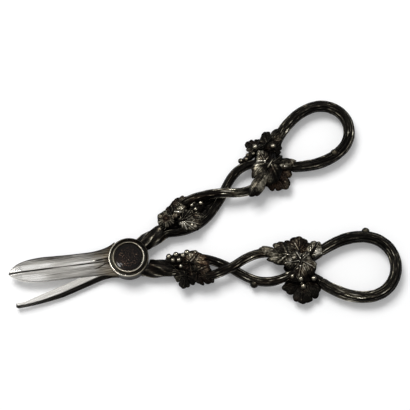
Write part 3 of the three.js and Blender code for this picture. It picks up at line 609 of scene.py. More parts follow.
def make_stem(prefix, way, name, seed, rubbed):
    """One of a handle's two stems."""
    arm = ARMS[prefix]
    bm = new_piece()
    path = smooth_path(stem_points(arm, way), STEM_STEPS)
    add_rod(bm, path, ROD_SIDES, stem_radius, seed, rubbed=rubbed)
    if (prefix, way) == ("lower", -1):
        wave = BUD_SHARE * math.pi
        along = mix(arm["crossing"], THROAT, BUD_SHARE)
        across = arm["lenses"][1] * math.sin(wave) + STEM
        add_bead(bm, on_handle(arm, along, across, MIDDLE - STEM * math.cos(wave)), BUD, 0.6)
    finish_piece(bm, f"{prefix}_{name}", bark_silver)


def make_bow(prefix, buds, seed, rubbed):
    """A finger bow, with the buds that grow on it."""
    arm = ARMS[prefix]
    bm = new_piece()
    start = BOW_START - 2
    points = [bow_point(arm, mix(start, 360 - start, i / BOW_POINTS)) for i in range(BOW_POINTS + 1)]
    add_rod(bm, smooth_path(points, BOW_STEPS), BOW_SIDES, bow_radius, seed, BOW_BARK, rubbed=rubbed)
    for degrees, outward, rise in buds:
        centre = bow_point(arm, degrees)
        away = (bow_point(arm, degrees, 1.0) - centre).normalized()
        add_bead(bm, centre + (away * outward + UP * rise) * BOW * MM, BUD, 0.7)
    finish_piece(bm, f"{prefix}_bow", bark_silver)


def make_shank(prefix, seed, rubbed):
    """The twisted bar between the pivot and the fork, hollowed to fit round the boss."""
    arm = ARMS[prefix]
    bm = new_piece()
    fork_width = 4 * STEM_ROOT + GAP

    def radius_at(share):
        run = min(1.0, share * (SHANK_END - SHANK_ROOT) / (FORK - SHANK_ROOT))
        neck = min(1.0, 0.8 + 0.5 * run)
        tip = math.sqrt(max(0.02, 1 - max(0.0, (share - 0.86) / 0.14) ** 2))
        wide = mix(arm["shank"], fork_width, run ** 2) / 2
        high = mix(SHANK_HEIGHT, 2.2 * STEM_ROOT, run ** 2) / 2
        return neck * wide * tip, high * tip

    shares = [i / SHANK_STEPS for i in range(SHANK_STEPS + 1)]
    path = [on_handle(arm, mix(SHANK_ROOT, SHANK_END, share), 0, MIDDLE) for share in shares]
    add_rod(bm, path, ROD_SIDES, radius_at, seed, SHANK_BARK, -1.6 * arm["side"], rubbed)
    ends = [face for face in bm.faces if len(face.verts) > 4]
    bmesh.ops.poke(bm, faces=ends)
    for vert in bm.verts:
        out = math.hypot(vert.co.x, vert.co.y)
        if out < HUB * MM:
            vert.co.x *= HUB * MM / out
            vert.co.y *= HUB * MM / out
    finish_piece(bm, f"{prefix}_shank", bark_silver)


# each pair gives where a rod is rubbed bright and has a painted highlight, and how strong it is
for prefix, seed, shank_shine in (("upper", 0.4, 0.3), ("lower", 1.9, 0.0)):
    make_stem(prefix, 1, "strand_over", seed, (0.56, 0.25))
    make_stem(prefix, -1, "strand_under", seed + 0.7, (0.8, 0.1))
    make_shank(prefix, seed + 1.1, (0.5, shank_shine))
make_bow("upper", [(252, -0.3, 0.7), (150, -0.7, 0.0)], 0.9, (0.1, 0.15))
make_bow("lower", [(248, 1.0, 0.0)], 2.6, (0.18, 0.36))
print("4 stems, 2 bows and 2 shanks")

# %% [markdown]
# Vine leaves
#
# Each leaf was cast by itself and chased with a graver before it was soldered on: a thick lens with round
# lobes and teeth, raised veins, and ribs that branch off them. A sphere is flattened and drawn out into that
# shape, so that its rim is round, and its rings are spaced evenly from the foot to the rim. Height at a
# point is its body, a fold along each lobe and the droop of the edge. On top come the chasing, which is
# veins with a groove on each side and ribs between them, a grain and a slow swell. What stands proud is
# worn. No two leaves have quite the same outline, because each has its own noise.

# %% Leaf helper
LEAF_THICKNESS = 1.2
LEAF_LOBES = 5
LEAF_TEETH = 3  # on each lobe
# Lean and notch are shares of a leaf's reach: what leans to its tip, and what is cut away between two lobes.
# a leaf is rubbed bright and given a painted highlight on the side that it names, in degrees
PLAIN_LEAF = {"lean": 0.2, "notch": 0.3, "veins": LEAF_LOBES, "rubbed": 0, "warmth": 0.0}
LEAF_SPOKES, LEAF_RINGS = 160, 64
VEIN_WIDTH = 0.24
RIB_SPACING = 1.3
VEIN_HEIGHT, GROOVE_DEPTH, RIB_HEIGHT, GRAIN_HEIGHT, SWELL_HEIGHT = 0.3, 0.16, 0.16, 0.1, 0.4
STALK = ((2.2, 0.75), (0.4, 1.0), (-1.4, 0.7), (-2.8, -0.3))  # ahead of the foot, and up from it
STEM_TOP = MIDDLE + STEM
THROAT_TOP = MIDDLE + 3 * STEM_THROAT
GRAPE = 1.35


def from_foot(arm, foot, heading, ahead, aside, up):
    """The point ahead, aside and up from a foot on a handle, for a heading in degrees."""
    along, across, height = foot
    turn = math.radians(heading)
    return on_handle(
        arm,
        along + ahead * math.cos(turn) - aside * math.sin(turn),
        across + ahead * math.sin(turn) + aside * math.cos(turn),
        height + up,
    )


def scallop(angle, count):
    """0 on the crown of each of count round lobes, and 1 in the notch between two."""
    return 1 - math.sqrt(abs(math.cos(count / 2 * angle)))


def leaf_outline(leaf, angle, out):
    """Place ahead and aside of a leaf's foot, in mm: round lobes with teeth, uneven in a way of its own."""
    length, width = leaf["size"]
    reach = 1 + leaf["lean"] * (math.cos(angle) - 1)
    reach -= leaf["notch"] * scallop(angle, LEAF_LOBES)
    reach *= 1.02 - 0.07 * scallop(angle, LEAF_LOBES * LEAF_TEETH) * out ** 4
    reach *= 1 + 0.22 * noise.noise(Vector((2 * math.cos(angle), 2 * math.sin(angle), length + width)))
    return math.cos(angle) * out * reach * length, math.sin(angle) * out * reach * width


def leaf_point(leaf, angle, out, top):
    """Place ahead, aside and up from the foot of a leaf, in mm, and the wear there, with a painted highlight
    on its rubbed side and painted light and shade from its tone.
    """
    length = leaf["size"][0]
    ahead, aside = leaf_outline(leaf, angle, out)
    rise = math.sqrt(max(0.0, 1 - out ** 4)) * LEAF_THICKNESS / 2
    sheet = leaf["fold"] * math.cos(LEAF_LOBES * angle) * out - leaf["droop"] * out ** 2
    if not top:
        return ahead, aside, sheet - rise, 0.2
    spacing = 2 * math.pi / leaf["veins"]
    off = angle - round(angle / spacing) * spacing
    far = math.hypot(ahead, aside)
    gap = far * abs(math.sin(off))
    run = far * math.cos(off)
    inside = 1 - out ** 8
    vein = stroke(gap, VEIN_WIDTH) * inside
    groove = stroke(gap - 2.4 * VEIN_WIDTH, VEIN_WIDTH) * inside
    rib = (0.5 + 0.5 * math.cos(2 * math.pi * (run - 1.1 * gap) / RIB_SPACING)) ** 2
    rib *= (1 - vein) * min(1.0, gap / 0.9) * inside
    swell = noise.noise(Vector((ahead, aside, 3 * length)) * 0.22)
    grain = noise.noise(Vector((ahead, aside, length)) * 1.2)
    rubbed = math.cos(angle - math.radians(leaf["rubbed"]))
    rim = stroke(out - 0.95, 0.06)
    chasing = VEIN_HEIGHT * vein - GROOVE_DEPTH * groove + RIB_HEIGHT * rib
    chasing += GRAIN_HEIGHT * grain + SWELL_HEIGHT * swell
    wear_and_light = 0.39 + 0.34 * vein - 0.22 * groove + 0.2 * rib - 0.15 * rim + 0.25 * grain + 0.5 * swell
    # the named side is rubbed and given a painted highlight
    wear_and_light += 0.15 * rubbed * out
    return ahead, aside, sheet + rise + chasing * inside, leaf["tone"] * wear_and_light


def add_leaf(bm, arm, leaf):
    """Adds a leaf at its place on a handle."""
    made = bmesh.ops.create_uvsphere(bm, u_segments=LEAF_SPOKES, v_segments=LEAF_RINGS, radius=1.0)
    for vert in made["verts"]:
        angle = math.atan2(vert.co.y, vert.co.x)
        out = math.acos(min(1.0, abs(vert.co.z))) / (math.pi / 2)
        ahead, aside, up, wear_and_light = leaf_point(leaf, angle, out, vert.co.z > -1e-6)
        vert.co = from_foot(arm, leaf["at"], leaf["heading"], ahead, aside, up)
        set_wear_and_light(bm, vert, wear_and_light, leaf["warmth"])


def add_stalk(bm, arm, leaf):
    """Adds the short stalk that runs back from a leaf's foot and down to the stem."""
    points = [from_foot(arm, leaf["at"], leaf["heading"], ahead, 0, up) for ahead, up in STALK]
    add_rod(bm, smooth_path(points, 20), 12, lambda share: (0.5, 0.45), leaf["at"][0])


def leaf_row(at, heading, size, fold, droop, tone, **own):
    """One leaf, which is a plain one but for what is its own."""
    return {**PLAIN_LEAF, "at": at, "heading": heading, "size": size, "fold": fold, "droop": droop,
            "tone": tone, **own}


print("a leaf has", LEAF_LOBES, "lobes with", LEAF_TEETH, "teeth each")

# %% [markdown]
# The leaves on each handle
#
# Each row places one leaf: the foot of the leaf on its handle, the way it points, its length and width, how
# far it folds and droops, and its tone, which is wear with painted light and shade: high for a leaf that was
# handled bright and lit, low for one that lies in shade under others. A row may also give its own lobes and
# veins, the side that was rubbed and gets a painted highlight, its brown, a twin lobe, or a berry that sits
# on it.

# %% Leaves
# Foot on the handle, heading in degrees, length and width, fold, droop, tone, which is wear with painted
# light and shade, and what is the leaf's own.
LEAVES = {
    "upper_lens_back_leaf": leaf_row(
        (FORK + 15.5, 0, MIDDLE - 1.6), 0, (15, 6), 0.2, 0, 0.5, lean=0, notch=0),
    "upper_throat_back_leaf": leaf_row(
        (THROAT, 0, LEAF_THICKNESS / 2), 180, (8.5, 9.5), 0.2, -1.0, 0.5),
    "upper_narrow_leaf": leaf_row(
        (FORK + 9.2, 4.7, STEM_TOP + 0.6), 16, (9.4, 4.4), 0.2, 0.6, 1.12, notch=0.1, warmth=0.2),
    "upper_fan_leaf": leaf_row(
        (FORK + 10.4, -1.2, STEM_TOP + 0.4), -22, (9.4, 8), 0.3, 0.8, 1.2, lean=0.4, notch=0.12, veins=14),
    "upper_throat_leaf": leaf_row(
        (THROAT - 0.8, -1.6, THROAT_TOP + 0.6), 205, (17, 8.2), 0.5, 2.2, 0.97, lean=0.3, notch=0.2,
        rubbed=-50,
        twin=leaf_row((THROAT - 2.1, 1.1, THROAT_TOP - 0.2), 82, (6, 4), 0.1, 0.8, 1.3, notch=0.1)),
    "upper_lobe_leaf": leaf_row(
        (THROAT + 2.4, -2.6, STEM_TOP + 1.6), -24, (8, 3.4), 0.1, 0.8, 1.2, notch=0.04, veins=2),
    "upper_inner_leaf": leaf_row(
        (THROAT - 0.6, -4, MIDDLE + 1), -88, (10, 8.4), 0.4, 0.9, 0.8, notch=0.16, warmth=0.35),
    "upper_bow_leaf": leaf_row(
        (THROAT + 4, 8.2, STEM_TOP + 0.7), 18, (11, 5.6), 0.4, 0.7, 0.75),
    "upper_berry_leaf": leaf_row(
        (THROAT - 0.6, 9.6, MIDDLE + 0.8), 110, (5.4, 5.4), 0.3, 0.5, 0.65, notch=0.16,
        fruit=(-0.6, 0.4, 1, 1.1)),
    "upper_round_leaf": leaf_row(
        (THROAT + 4, 4.6, STEM_TOP + 1.2), 0, (5.4, 5.4), 0.3, 0.6, 0.65, notch=0.16,
        fruit=(1.2, 0.6, 1, 1.05)),
    "lower_lens_back_leaf": leaf_row(
        (FORK + 8, 0, MIDDLE - 1.6), 0, (7.6, 5), 0.2, 0, 0.5, lean=0, notch=0),
    "lower_throat_back_leaf": leaf_row(
        (THROAT, 0, LEAF_THICKNESS / 2), 180, (8.5, 9.5), 0.2, -1.0, 0.5),
    "lower_cover_leaf": leaf_row(
        (FORK + 8, -1.6, STEM_TOP + 0.6), 14, (9.6, 7), 0.3, 0.8, 1.0, notch=0.14, warmth=0.4),
    "lower_curled_leaf": leaf_row(
        (FORK + 11, 2.4, STEM_TOP + 0.6), 32, (9, 5.4), 0.4, 0.4, 0.78, warmth=0.2),
    "lower_small_leaf": leaf_row(
        (FORK + 6.2, 4, STEM_TOP + 0.2), 100, (5.6, 6), 0.4, 0.7, 0.7),
    "lower_throat_leaf": leaf_row(
        (THROAT - 1.4, -1.4, THROAT_TOP + 0.6), 100, (8.2, 8.6), 0.4, 1.7, 1.32, notch=0.2,
        fruit=(-3.2, -1.2, 0.4, 0.8)),
    "lower_crown_leaf": leaf_row(
        (THROAT - 1.8, -6.4, STEM_TOP + 0.4), -88, (7.8, 8.6), 0.3, 0.9, 0.85, notch=0.07, veins=13,
        warmth=0.2),
    "lower_side_leaf": leaf_row(
        (THROAT - 7.4, -4.9, STEM_TOP + 0.7), 194, (12.6, 6), 0.4, 0.8, 1.0),
    "lower_bud_leaf": leaf_row(
        (THROAT + 4, -6.4, STEM_TOP + 0.9), -56, (5.4, 4.2), 0.1, 0.7, 1.5, notch=0, veins=1),
    "lower_foot_leaf": leaf_row(
        (THROAT - 1, 7.2, MIDDLE + 0.6), 92, (9.4, 9.6), 0.5, 1, 0.65, notch=0.16),
}


def make_leaf(node, leaf):
    """A leaf with its stalk, and with its twin and its berry where it has them."""
    arm = ARMS[node.split("_")[0]]
    bm = new_piece()
    add_leaf(bm, arm, leaf)
    if "back" not in node:
        add_stalk(bm, arm, leaf)
    if "twin" in leaf:
        add_leaf(bm, arm, leaf["twin"])
    if "fruit" in leaf:
        *offset, size = leaf["fruit"]
        add_bead(bm, from_foot(arm, leaf["at"], 0, *offset), GRAPE * size, 1.0)
    finish_piece(bm, node, leaf_silver)


for node, leaf in LEAVES.items():
    make_leaf(node, leaf)
print(len(LEAVES), "leaves")

# %% [markdown]
# Grapes and the rosette
#
# A bunch is a low cushion of stalks with berries soldered on. Each berry is a small ball that is bright on
# top, where fingers rub it, and that has a painted highlight on top and painted shade underneath. The rosette
# near the fork of the upper handle is a button made from a sphere whose radius rises and falls round it as
# petals, with lines chased along them and a groove round its middle.

# %% Grapes and rosette
BUNCHES = {
    "upper_lens_grapes": {
        "core": (FORK + 20, 1.5, MIDDLE - 0.2), "heading": 0, "size": (9, 6, 3),
        "berries": [(2, 0, 1.3, 0.95), (-1.9, 1.4, 1.2, 0.8), (-1.5, -1.1, 1.2, 0.8), (-0.4, 2.1, 1.2, 0.8)],
    },
    "upper_throat_grapes": {
        "core": (THROAT - 5.2, 8, MIDDLE + 0.6), "heading": 9, "size": (13, 3.4, 2.4), "tone": 0.8,
        "berries": [(-5, 0.3, 0.4, 0.95), (-2.6, -0.6, 0.8, 0.9), (-0.8, 0.8, 0.4, 0.8),
                    (1.6, -0.2, 0.9, 0.85)],
    },
    "lower_lens_grapes": {
        "core": (FORK + 3.4, -3.8, MIDDLE + 1.6), "heading": -8, "size": (13, 5, 2.4),
        "berries": [(-4.6, -0.9, 0.6, 1), (-1.5, -1.8, 0.4, 1), (1.6, -1.3, 0.8, 1), (3.4, -3.0, -0.4, 1.05),
                    (7, -2.8, -0.4, 1), (-2.8, 1, 1.5, 0.9), (-0.2, 1, 1.6, 0.9), (0.7, 3.7, 1, 0.8)],
    },
    "lower_throat_grapes": {
        "core": (THROAT - 1.9, 4.6, MIDDLE + 2), "heading": 0, "size": (12.5, 6, 2.6),
        "berries": [(-5.5, -1, 0.2, 0.9), (-1.2, -0.4, 1.4, 1), (0.2, 2, 2.2, 0.95), (5.9, 1.4, 1, 1),
                    (1.3, 4.8, 0.5, 1.05), (-3.4, 0.3, 0.8, 0.9)],
    },
}
ROSETTE = {"at": (FORK + 4.8, 3.6, STEM_TOP), "radius": 4.2, "thick": 3.0, "petals": 6}
CUSHION_SPOKES, CUSHION_RINGS = 48, 20
ROSETTE_SPOKES, ROSETTE_RINGS = 96, 32


def make_bunch(node, bunch):
    """A bunch of grapes on its cushion."""
    arm = ARMS[node.split("_")[0]]
    length, width, thick = bunch["size"]
    bm = new_piece()
    cushion = bmesh.ops.create_uvsphere(bm, u_segments=CUSHION_SPOKES, v_segments=CUSHION_RINGS, radius=0.5)
    for vert in cushion["verts"]:
        knobs = 1 + 0.12 * noise.noise(vert.co * 9)
        ahead, aside = vert.co.x * length * knobs, vert.co.y * width * knobs
        up = vert.co.z * thick * knobs
        vert.co = from_foot(arm, bunch["core"], bunch["heading"], ahead, aside, up)
        set_wear_and_light(bm, vert, 0.2)
    for *offset, size in bunch["berries"]:
        at = from_foot(arm, bunch["core"], 0, *offset)
        add_bead(bm, at, GRAPE * size, bunch.get("tone", 1.0))
    finish_piece(bm, node, grape_silver)


def make_rosette():
    """The petalled button near the fork."""
    bm = new_piece()
    made = bmesh.ops.create_uvsphere(bm, u_segments=ROSETTE_SPOKES, v_segments=ROSETTE_RINGS, radius=1.0)
    for vert in made["verts"]:
        angle = math.atan2(vert.co.y, vert.co.x)
        out = math.hypot(vert.co.x, vert.co.y)
        petal = math.cos(ROSETTE["petals"] * angle)
        line = math.cos(3 * ROSETTE["petals"] * angle + 2 * out)
        cup = stroke(out - 0.25, 0.1)
        radius = ROSETTE["radius"] * (1 + 0.05 * (petal - 1))
        relief = (0.16 * petal + 0.1 * line) * out - 0.3 * cup
        up = vert.co.z * ROSETTE["thick"] / 2 + relief * (vert.co.z > 0)
        vert.co = from_foot(ARMS["upper"], ROSETTE["at"], 0, vert.co.x * radius, vert.co.y * radius, up)
        set_wear_and_light(bm, vert, 0.52 + (0.12 * petal + 0.2 * line) * out - 0.38 * cup, 0.6 - out)
    finish_piece(bm, "upper_rosette", leaf_silver)


for node, bunch in BUNCHES.items():
    make_bunch(node, bunch)
make_rosette()
print(len(BUNCHES), "bunches and a rosette")

# %% [markdown]
# The pivot
#
# The rivet, the rear boss and the front boss are turned on a lathe, so each is a profile spun round the pivot
# axis. The front boss is a cup: a thin rim, a dark channel and a bead round the medallion. The rim has a
# painted highlight on its left, and the bead on its right. The medallion is spun from a dished profile. Its
# low relief of small curling leaves is then raised on its points, and it gets darker towards its edge.

# %% Pivot pieces
RIVET, RIVET_TAIL, RIVET_TAIL_HEIGHT, PLAY = 2.0, 3.4, 1.2, 0.2
REAR_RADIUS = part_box("rear_boss")[1].x / MM
REAR_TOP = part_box("rear_boss")[1].z / MM
BOSS_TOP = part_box("front_boss")[1].z / MM
PLATE_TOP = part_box("pivot_rivet")[1].z / MM
DISC_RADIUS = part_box("medallion")[1].x / MM
DISC_BOTTOM, DISC_TOP = (corner.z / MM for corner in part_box("medallion"))
DISC_DISH, DISH_STEPS = 0.55, 60
RELIEF_HEIGHT, RELIEF_EDGE = 0.012, 0.95  # the edge is a share of the disc's radius
REAR_ROUND = 1.4
RIM_HEIGHT, RIM_ROUND = 1.1, 0.35
BEAD_AT, BEAD_ROUND = 6.75, 0.42
CHANNEL = ((8.0, 0.5), (7.6, 0.55), (7.3, 0.45))  # radius, and depth under the rim's top
SPIN_STEPS = 120
# where round the pivot the rim and the bead get their painted highlights
RIM_HIGHLIGHT_AT, BEAD_HIGHLIGHT_AT = math.radians(207), math.radians(-16)


def arc(centre, radius, start, end, count):
    """Points of an arc in a profile, in degrees from outwards, turning up."""
    turns = [math.radians(mix(start, end, i / count)) for i in range(count + 1)]
    return [(centre[0] + radius * math.cos(t), centre[1] + radius * math.sin(t)) for t in turns]


def spin_profile(bm, profile, wear_and_light_at, closed):
    """Spins a profile of (radius, height) points, in mm, round the pivot axis."""
    verts = [bm.verts.new((radius * MM, 0, height * MM)) for radius, height in profile]
    pairs = list(zip(verts, verts[1:]))
    if closed:
        pairs.append((verts[-1], verts[0]))
    edges = [bm.edges.new(pair) for pair in pairs]
    bmesh.ops.spin(bm, geom=verts + edges, cent=(0, 0, 0), axis=(0, 0, 1), angle=2 * math.pi,
                   steps=SPIN_STEPS, use_merge=True)
    bmesh.ops.remove_doubles(bm, verts=bm.verts, dist=1e-7)
    for vert in bm.verts:
        angle = math.atan2(vert.co.y, vert.co.x)
        set_wear_and_light(bm, vert, wear_and_light_at(math.hypot(vert.co.x, vert.co.y) / MM, vert.co.z / MM, angle))


def make_rivet():
    """The rivet, countersunk at both ends."""
    bm = new_piece()
    head = RIVET + PLATE_TOP - BOSS_BOTTOM
    profile = [(0, 0), (RIVET_TAIL, 0), (RIVET, RIVET_TAIL_HEIGHT), (RIVET, BOSS_BOTTOM),
               (head, PLATE_TOP), (0, PLATE_TOP)]
    spin_profile(bm, profile, lambda *place: 0.9, False)
    finish_piece(bm, "pivot_rivet", blade_silver)


def make_rear_boss():
    """The domed washer that the shears lie on, kept dark as painted shade."""
    bm = new_piece()
    bore, sink = RIVET + PLAY, RIVET_TAIL + PLAY
    shoulder = arc((REAR_RADIUS - REAR_ROUND, REAR_ROUND), REAR_ROUND, -90, 0, 10)
    profile = [(sink, 0), *shoulder, (REAR_RADIUS, REAR_TOP), (bore, REAR_TOP),
               (bore, RIVET_TAIL_HEIGHT + PLAY)]
    # kept dark all over: painted shade under the front boss
    spin_profile(bm, profile, lambda *place: 0.1, True)
    finish_piece(bm, "rear_boss", boss_silver)


def boss_wear_and_highlight(radius, height, angle):
    """Painted highlights on one side of the rim and on the other side of the bead, with the whole boss a
    little lighter towards the rim's highlight; dark in the channel between them.
    """
    rim = stroke(radius - BOSS_RADIUS + 0.3, 0.3)
    bead = stroke(radius - BEAD_AT, 0.3) * (height > BOSS_TOP - 0.7)
    rim *= 0.45 + 0.3 * math.cos(angle - RIM_HIGHLIGHT_AT)
    bead *= 0.5 + 0.2 * math.cos(angle - BEAD_HIGHLIGHT_AT)
    return 0.36 + 0.14 * math.cos(angle - RIM_HIGHLIGHT_AT) + max(rim, bead)


def make_front_boss():
    """The turned cup on the pivot."""
    bm = new_piece()
    bore = RIVET + PLAY
    inner = DISC_RADIUS + GAP
    rim_top = BOSS_BOTTOM + RIM_HEIGHT
    rim = arc((BOSS_RADIUS - RIM_ROUND, rim_top - RIM_ROUND), RIM_ROUND, -40, 160, 12)
    channel = [(radius, rim_top - depth) for radius, depth in CHANNEL]
    bead = arc((BEAD_AT, BOSS_TOP - BEAD_ROUND), BEAD_ROUND, 0, 180, 14)
    profile = [(bore, BOSS_BOTTOM), (BOSS_RADIUS - 0.3, BOSS_BOTTOM), *rim, *channel, *bead,
               (inner, PLATE_TOP), (bore + PLATE_TOP - BOSS_BOTTOM, PLATE_TOP)]
    spin_profile(bm, profile, boss_wear_and_highlight, True)
    finish_piece(bm, "front_boss", boss_silver)


def medallion_relief(x, y):
    """Height of the chased foliage at a place in mm, from about -1 to 1: small leaves that curl at random."""
    curl = 1.6 * noise.noise(Vector((0.6 * x, 0.6 * y, 4.0)))
    leaf = noise.noise(Vector((1.8 * x + curl, 1.8 * y - curl, 0.0)))
    return 1.2 * leaf + 0.8 * noise.noise(Vector((3.2 * x, 3.2 * y, 9.0)))


def make_medallion():
    """The dark dished disc with its low relief."""
    bm = new_piece()
    shares = [1 - i / DISH_STEPS for i in range(DISH_STEPS + 1)]
    dish = [(DISC_RADIUS * share, DISC_TOP - DISC_DISH * (1 - share ** 2)) for share in shares]
    profile = [(0, DISC_BOTTOM), (DISC_RADIUS, DISC_BOTTOM), *dish]
    spin_profile(bm, profile, lambda *place: 0.4, False)
    for vert in bm.verts:
        share = math.hypot(vert.co.x, vert.co.y) / (DISC_RADIUS * MM)
        if vert.co.z > (DISC_BOTTOM + 0.05) * MM and share < RELIEF_EDGE:
            lift = medallion_relief(vert.co.x / MM, vert.co.y / MM)
            vert.co.z += RELIEF_HEIGHT * lift * MM
            set_wear_and_light(bm, vert, (0.34 + 0.52 * lift) * mix(1.0, 0.4, (share - 0.68) / 0.25))
    finish_piece(bm, "medallion", medallion_silver)


make_rivet()
make_rear_boss()
make_front_boss()
make_medallion()
print("rivet, two bosses and a medallion")

# %% [markdown]
# The blades
#
# The broad blade is a low roof with a thin line cut along its ridge, which opens into a dart at the boss. It
# is brightest beside the ridge and towards its tip, which is painted highlight and painted reflection, and
# darker along its back, which is painted shade. The slim blade lies under it, flat on top and sloped on its
# outer side, with a round tip that turns a little towards the broad blade; its slope and tip are darkened
# with painted shade. Each top is a fine grid laid between the two edges of its outline, and the grid is then
# extruded down to the flat side. The eye is a ring round the rivet. Places along a blade are in mm from the
# pivot, and fall below 0 towards the tip.

# %% Blades
EYE = 8.7
BLADE_ROOT = -5.5  # where a blade's body ends, inside its eye
BROAD_LENGTH, BROAD_BACK, BROAD_WAIST, BROAD_EDGE, BROAD_SPUR = 53.6, 6.0, 5.5, 5.4, 10.4
BROAD_RIDGE, BROAD_THIN = 2.0, 0.5
SLIM_LENGTH, SLIM_TIP = 53.8, 2.3
SLIM_INNER, SLIM_OUTER, SLIM_TIP_WIDTH = 1.3, 3.2, 2.1
WALL_SHARE, WALL_LEAST = 0.39, 1.2  # share of the slim blade's width that slopes down, and the least width
TINT_FROM, TINT_TO = -24.0, -9.0  # where the brown tint near the boss starts and is full
LINE_FAINT, DART, DART_ROOT = -29.0, -15.0, -11.5  # where the cut line is faint, and where it opens
CUT_DEPTH, CHAMFER = 0.4, 0.4
BLADE_COLUMNS, BLADE_ROWS = 180, 72
TIP_CROWDING = 1.4  # columns stand closer towards the tip
CURVE_STEPS = 24


def bent(*corners):
    """Points on curves that each run from a corner past a guide to the next corner."""
    points = []
    for a, b, c in zip(corners[::2], corners[1::2], corners[2::2]):
        for i in range(CURVE_STEPS + 1):
            t = i / CURVE_STEPS
            first, guide, last = (1 - t) ** 2, 2 * t * (1 - t), t * t
            points.append(tuple(first * p + guide * q + last * r for p, q, r in zip(a, b, c)))
    return points


def height_on(points, x):
    """The outline's y at x, between the nearest two points."""
    ordered = sorted(points)
    for (x0, y0), (x1, y1) in zip(ordered, ordered[1:]):
        if x0 <= x <= x1:
            return mix(y0, y1, (x - x0) / (x1 - x0)) if x1 > x0 else y1
    return ordered[0][1] if x < ordered[0][0] else ordered[-1][1]


def broad_edges():
    """The back and the cutting edge of the broad blade."""
    length = BROAD_LENGTH
    spur = math.radians(122)
    back = bent((BROAD_SPUR * math.cos(spur), BROAD_SPUR * math.sin(spur)), (-1.15 * EYE, BROAD_WAIST),
                (-0.35 * length, BROAD_WAIST), (-0.5 * length, BROAD_WAIST), (-0.7 * length, BROAD_BACK),
                (-0.96 * length, BROAD_BACK), (-length, 0))
    edge = bent((-length, 0), (-0.93 * length, -BROAD_EDGE), (-0.7 * length, -BROAD_EDGE),
                (-0.5 * length, -BROAD_EDGE), (-0.35 * length, -BROAD_EDGE), (-1.2 * EYE, -BROAD_EDGE),
                (-0.4 * EYE, -0.9 * EYE))
    return back, edge


def slim_edges():
    """The inner and the outer edge of the slim blade."""
    length = SLIM_LENGTH
    inner = bent((0, SLIM_INNER), (-0.5 * length, SLIM_INNER), (-0.92 * length, SLIM_INNER),
                 (-0.97 * length, SLIM_INNER), (-length, SLIM_TIP))
    outer = bent((-length, SLIM_TIP - SLIM_TIP_WIDTH), (-0.85 * length, -0.6 * SLIM_OUTER),
                 (-0.62 * length, -SLIM_OUTER), (-0.46 * length, -SLIM_OUTER), (-0.3 * length, -SLIM_OUTER),
                 (-EYE, -SLIM_OUTER), (-0.45 * EYE, -0.85 * EYE))
    return inner, outer


def add_blade(bm, arm, low_edge, high_edge, length, bottom, top_at, blunt=0.0):
    """Lays a grid between two edges, from the tip to the eye, and extrudes it down to a flat underside.

    blunt is how far the corners of a round tip stand back, in mm.
    """
    made = bmesh.ops.create_grid(bm, x_segments=BLADE_COLUMNS, y_segments=BLADE_ROWS, size=0.5, calc_uvs=True)
    faces = list({face for vert in made["verts"] for face in vert.link_faces})
    uv = bm.loops.layers.uv["map"]
    edges = {}
    for vert in made["verts"]:
        column = round((vert.co.x + 0.5) * BLADE_COLUMNS)
        share = (column / BLADE_COLUMNS) ** TIP_CROWDING
        x = mix(-length, BLADE_ROOT, share)
        if column not in edges:
            edges[column] = height_on(low_edge, x), height_on(high_edge, x)
        across = vert.co.y + 0.5
        x += blunt * (2 * across - 1) ** 2 * (1 - share)
        vert.co = (x, mix(*edges[column], across), column)
    for face in faces:
        for loop in face.loops:
            loop[uv].uv = (loop.vert.co.x * MM, loop.vert.co.y * MM)
    for vert in made["verts"]:
        x, y, column = vert.co
        z, wear_and_light = top_at(x, y, *edges[round(column)])
        set_wear_and_light(bm, vert, wear_and_light, mix(-0.5, 0.6, (x - TINT_FROM) / (TINT_TO - TINT_FROM)))
        vert.co = swing(arm, x, y, z)
    under = bmesh.ops.extrude_face_region(bm, geom=faces, use_keep_orig=True)
    for item in under["geom"]:
        if isinstance(item, bmesh.types.BMVert):
            item.co.z = bottom * MM
    bmesh.ops.remove_doubles(bm, verts=bm.verts, dist=1e-7)


def add_eye(bm, bottom, top):
    """Adds the ring of a blade round the rivet."""
    ring = new_piece()
    spin_profile(ring, [(RIVET + PLAY, bottom), (EYE, bottom), (EYE, top), (RIVET + PLAY, top)],
                 lambda *place: 0.12, True)
    mesh = bpy.data.meshes.new("eye")
    bmesh.ops.recalc_face_normals(ring, faces=ring.faces)
    ring.to_mesh(mesh)
    ring.free()
    bm.from_mesh(mesh)
    bpy.data.meshes.remove(mesh)


def broad_cut(x, y):
    """Depth of the graver's cuts: the line on the ridge, and the dart that opens from it at the boss."""
    line = (1 - 0.45 * stroke(x - LINE_FAINT, 5)) * stroke(y, mix(0.36, 0.2, (x + 50) / 20))
    toward = (x - DART) / 6
    barbs = max(stroke(y - mix(0.9, 1.4, toward), 0.3), 0.7 * stroke(y - mix(-2.9, -0.5, toward), 0.2))
    root = mix(0.0, 1.0, (x - DART_ROOT) / 3) * stroke(y, 1.5)
    return max(line, barbs * mix(0.0, 1.0, (x - DART + 1) / 2), root)


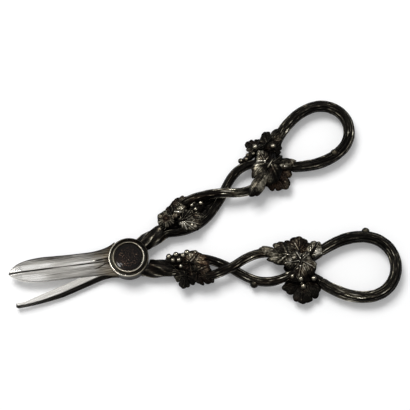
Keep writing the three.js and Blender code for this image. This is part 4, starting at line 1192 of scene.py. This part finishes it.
def broad_painted_light(x, y, low, high):
    """How bright the blade is, mostly painted light: painted highlights and reflection beside its ridge and
    towards its tip, painted shade along its back.
    """
    tone = mix(0.85, 0.64, (x + BROAD_LENGTH) / 20) - mix(0.0, 0.18, (x + 24) / 14)
    tone += 0.4 * (stroke(y - 0.8, 0.45) + stroke(y + 0.9, 0.4)) * stroke(x + 21, 7)
    if y > 0:
        tone += 0.35 * stroke(y - 1.7, 1.1) * mix(1.0, 0.0, (x + 36) / 6)
        return tone - 0.22 * mix(0.0, 1.0, (y / max(high, 0.1) - 0.4) / 0.3)
    return tone + 0.3 * mix(0.0, 1.0, (y / min(low, -0.1) - 0.25) / 0.2) * stroke(x + 42, 6)


def broad_top(x, y, low, high):
    """Height on top of the broad blade, and its wear with painted highlights, painted reflection and painted
    shade.
    """
    cut = broad_cut(x, y)
    tone = broad_painted_light(x, y, low, high)
    roof = BROAD_THIN + (BROAD_RIDGE - BROAD_THIN) * max(0.0, 1 - abs(y) / BROAD_BACK)
    chamfer = min(1.0, (high - y) / CHAMFER, (y - low) / CHAMFER)
    taper = mix(0.45, 1.0, (x + BROAD_LENGTH) / 6)
    z = BROAD_BOTTOM + max(0.1, roof * taper * (0.5 + 0.5 * chamfer) - CUT_DEPTH * cut)
    # a dark strip of painted shade along the back edge
    return z, tone - tone * cut - 0.3 * (high - y < 0.5)


def slim_top(x, y, low, high):
    """Height and wear on top of the slim blade, whose outer side and round tip slope down to the edge and are
    darkened as painted shade.
    """
    slope = max(0.0, 1 - (y - low) / max(WALL_LEAST, WALL_SHARE * (high - low)))
    slope = max(slope, 0.6 * stroke(x + SLIM_LENGTH, 0.6))
    z = mix(SLIM_TOP, SLIM_BOTTOM, slope)
    # the sloped outer side and the tip are darkened: painted shade
    return z, mix(0.94, 0.76, (x + SLIM_LENGTH) / 25) - 0.8 * min(1.0, 5 * slope)


def make_broad_blade():
    """The broad cutting blade on the lower arm."""
    bm = new_piece()
    back, edge = broad_edges()
    add_blade(bm, ARMS["lower"], edge, back, BROAD_LENGTH, BROAD_BOTTOM, broad_top)
    add_eye(bm, BROAD_BOTTOM, EYE_TOP)
    finish_piece(bm, "broad_blade", blade_silver)


def make_slim_blade():
    """The slim holding blade on the upper arm."""
    bm = new_piece()
    inner, outer = slim_edges()
    add_blade(bm, ARMS["upper"], outer, inner, SLIM_LENGTH, SLIM_BOTTOM, slim_top, SLIM_TIP_WIDTH / 2)
    add_eye(bm, SLIM_BOTTOM, SLIM_TOP)
    finish_piece(bm, "slim_blade", blade_silver)


make_broad_blade()
make_slim_blade()
print("two blades")
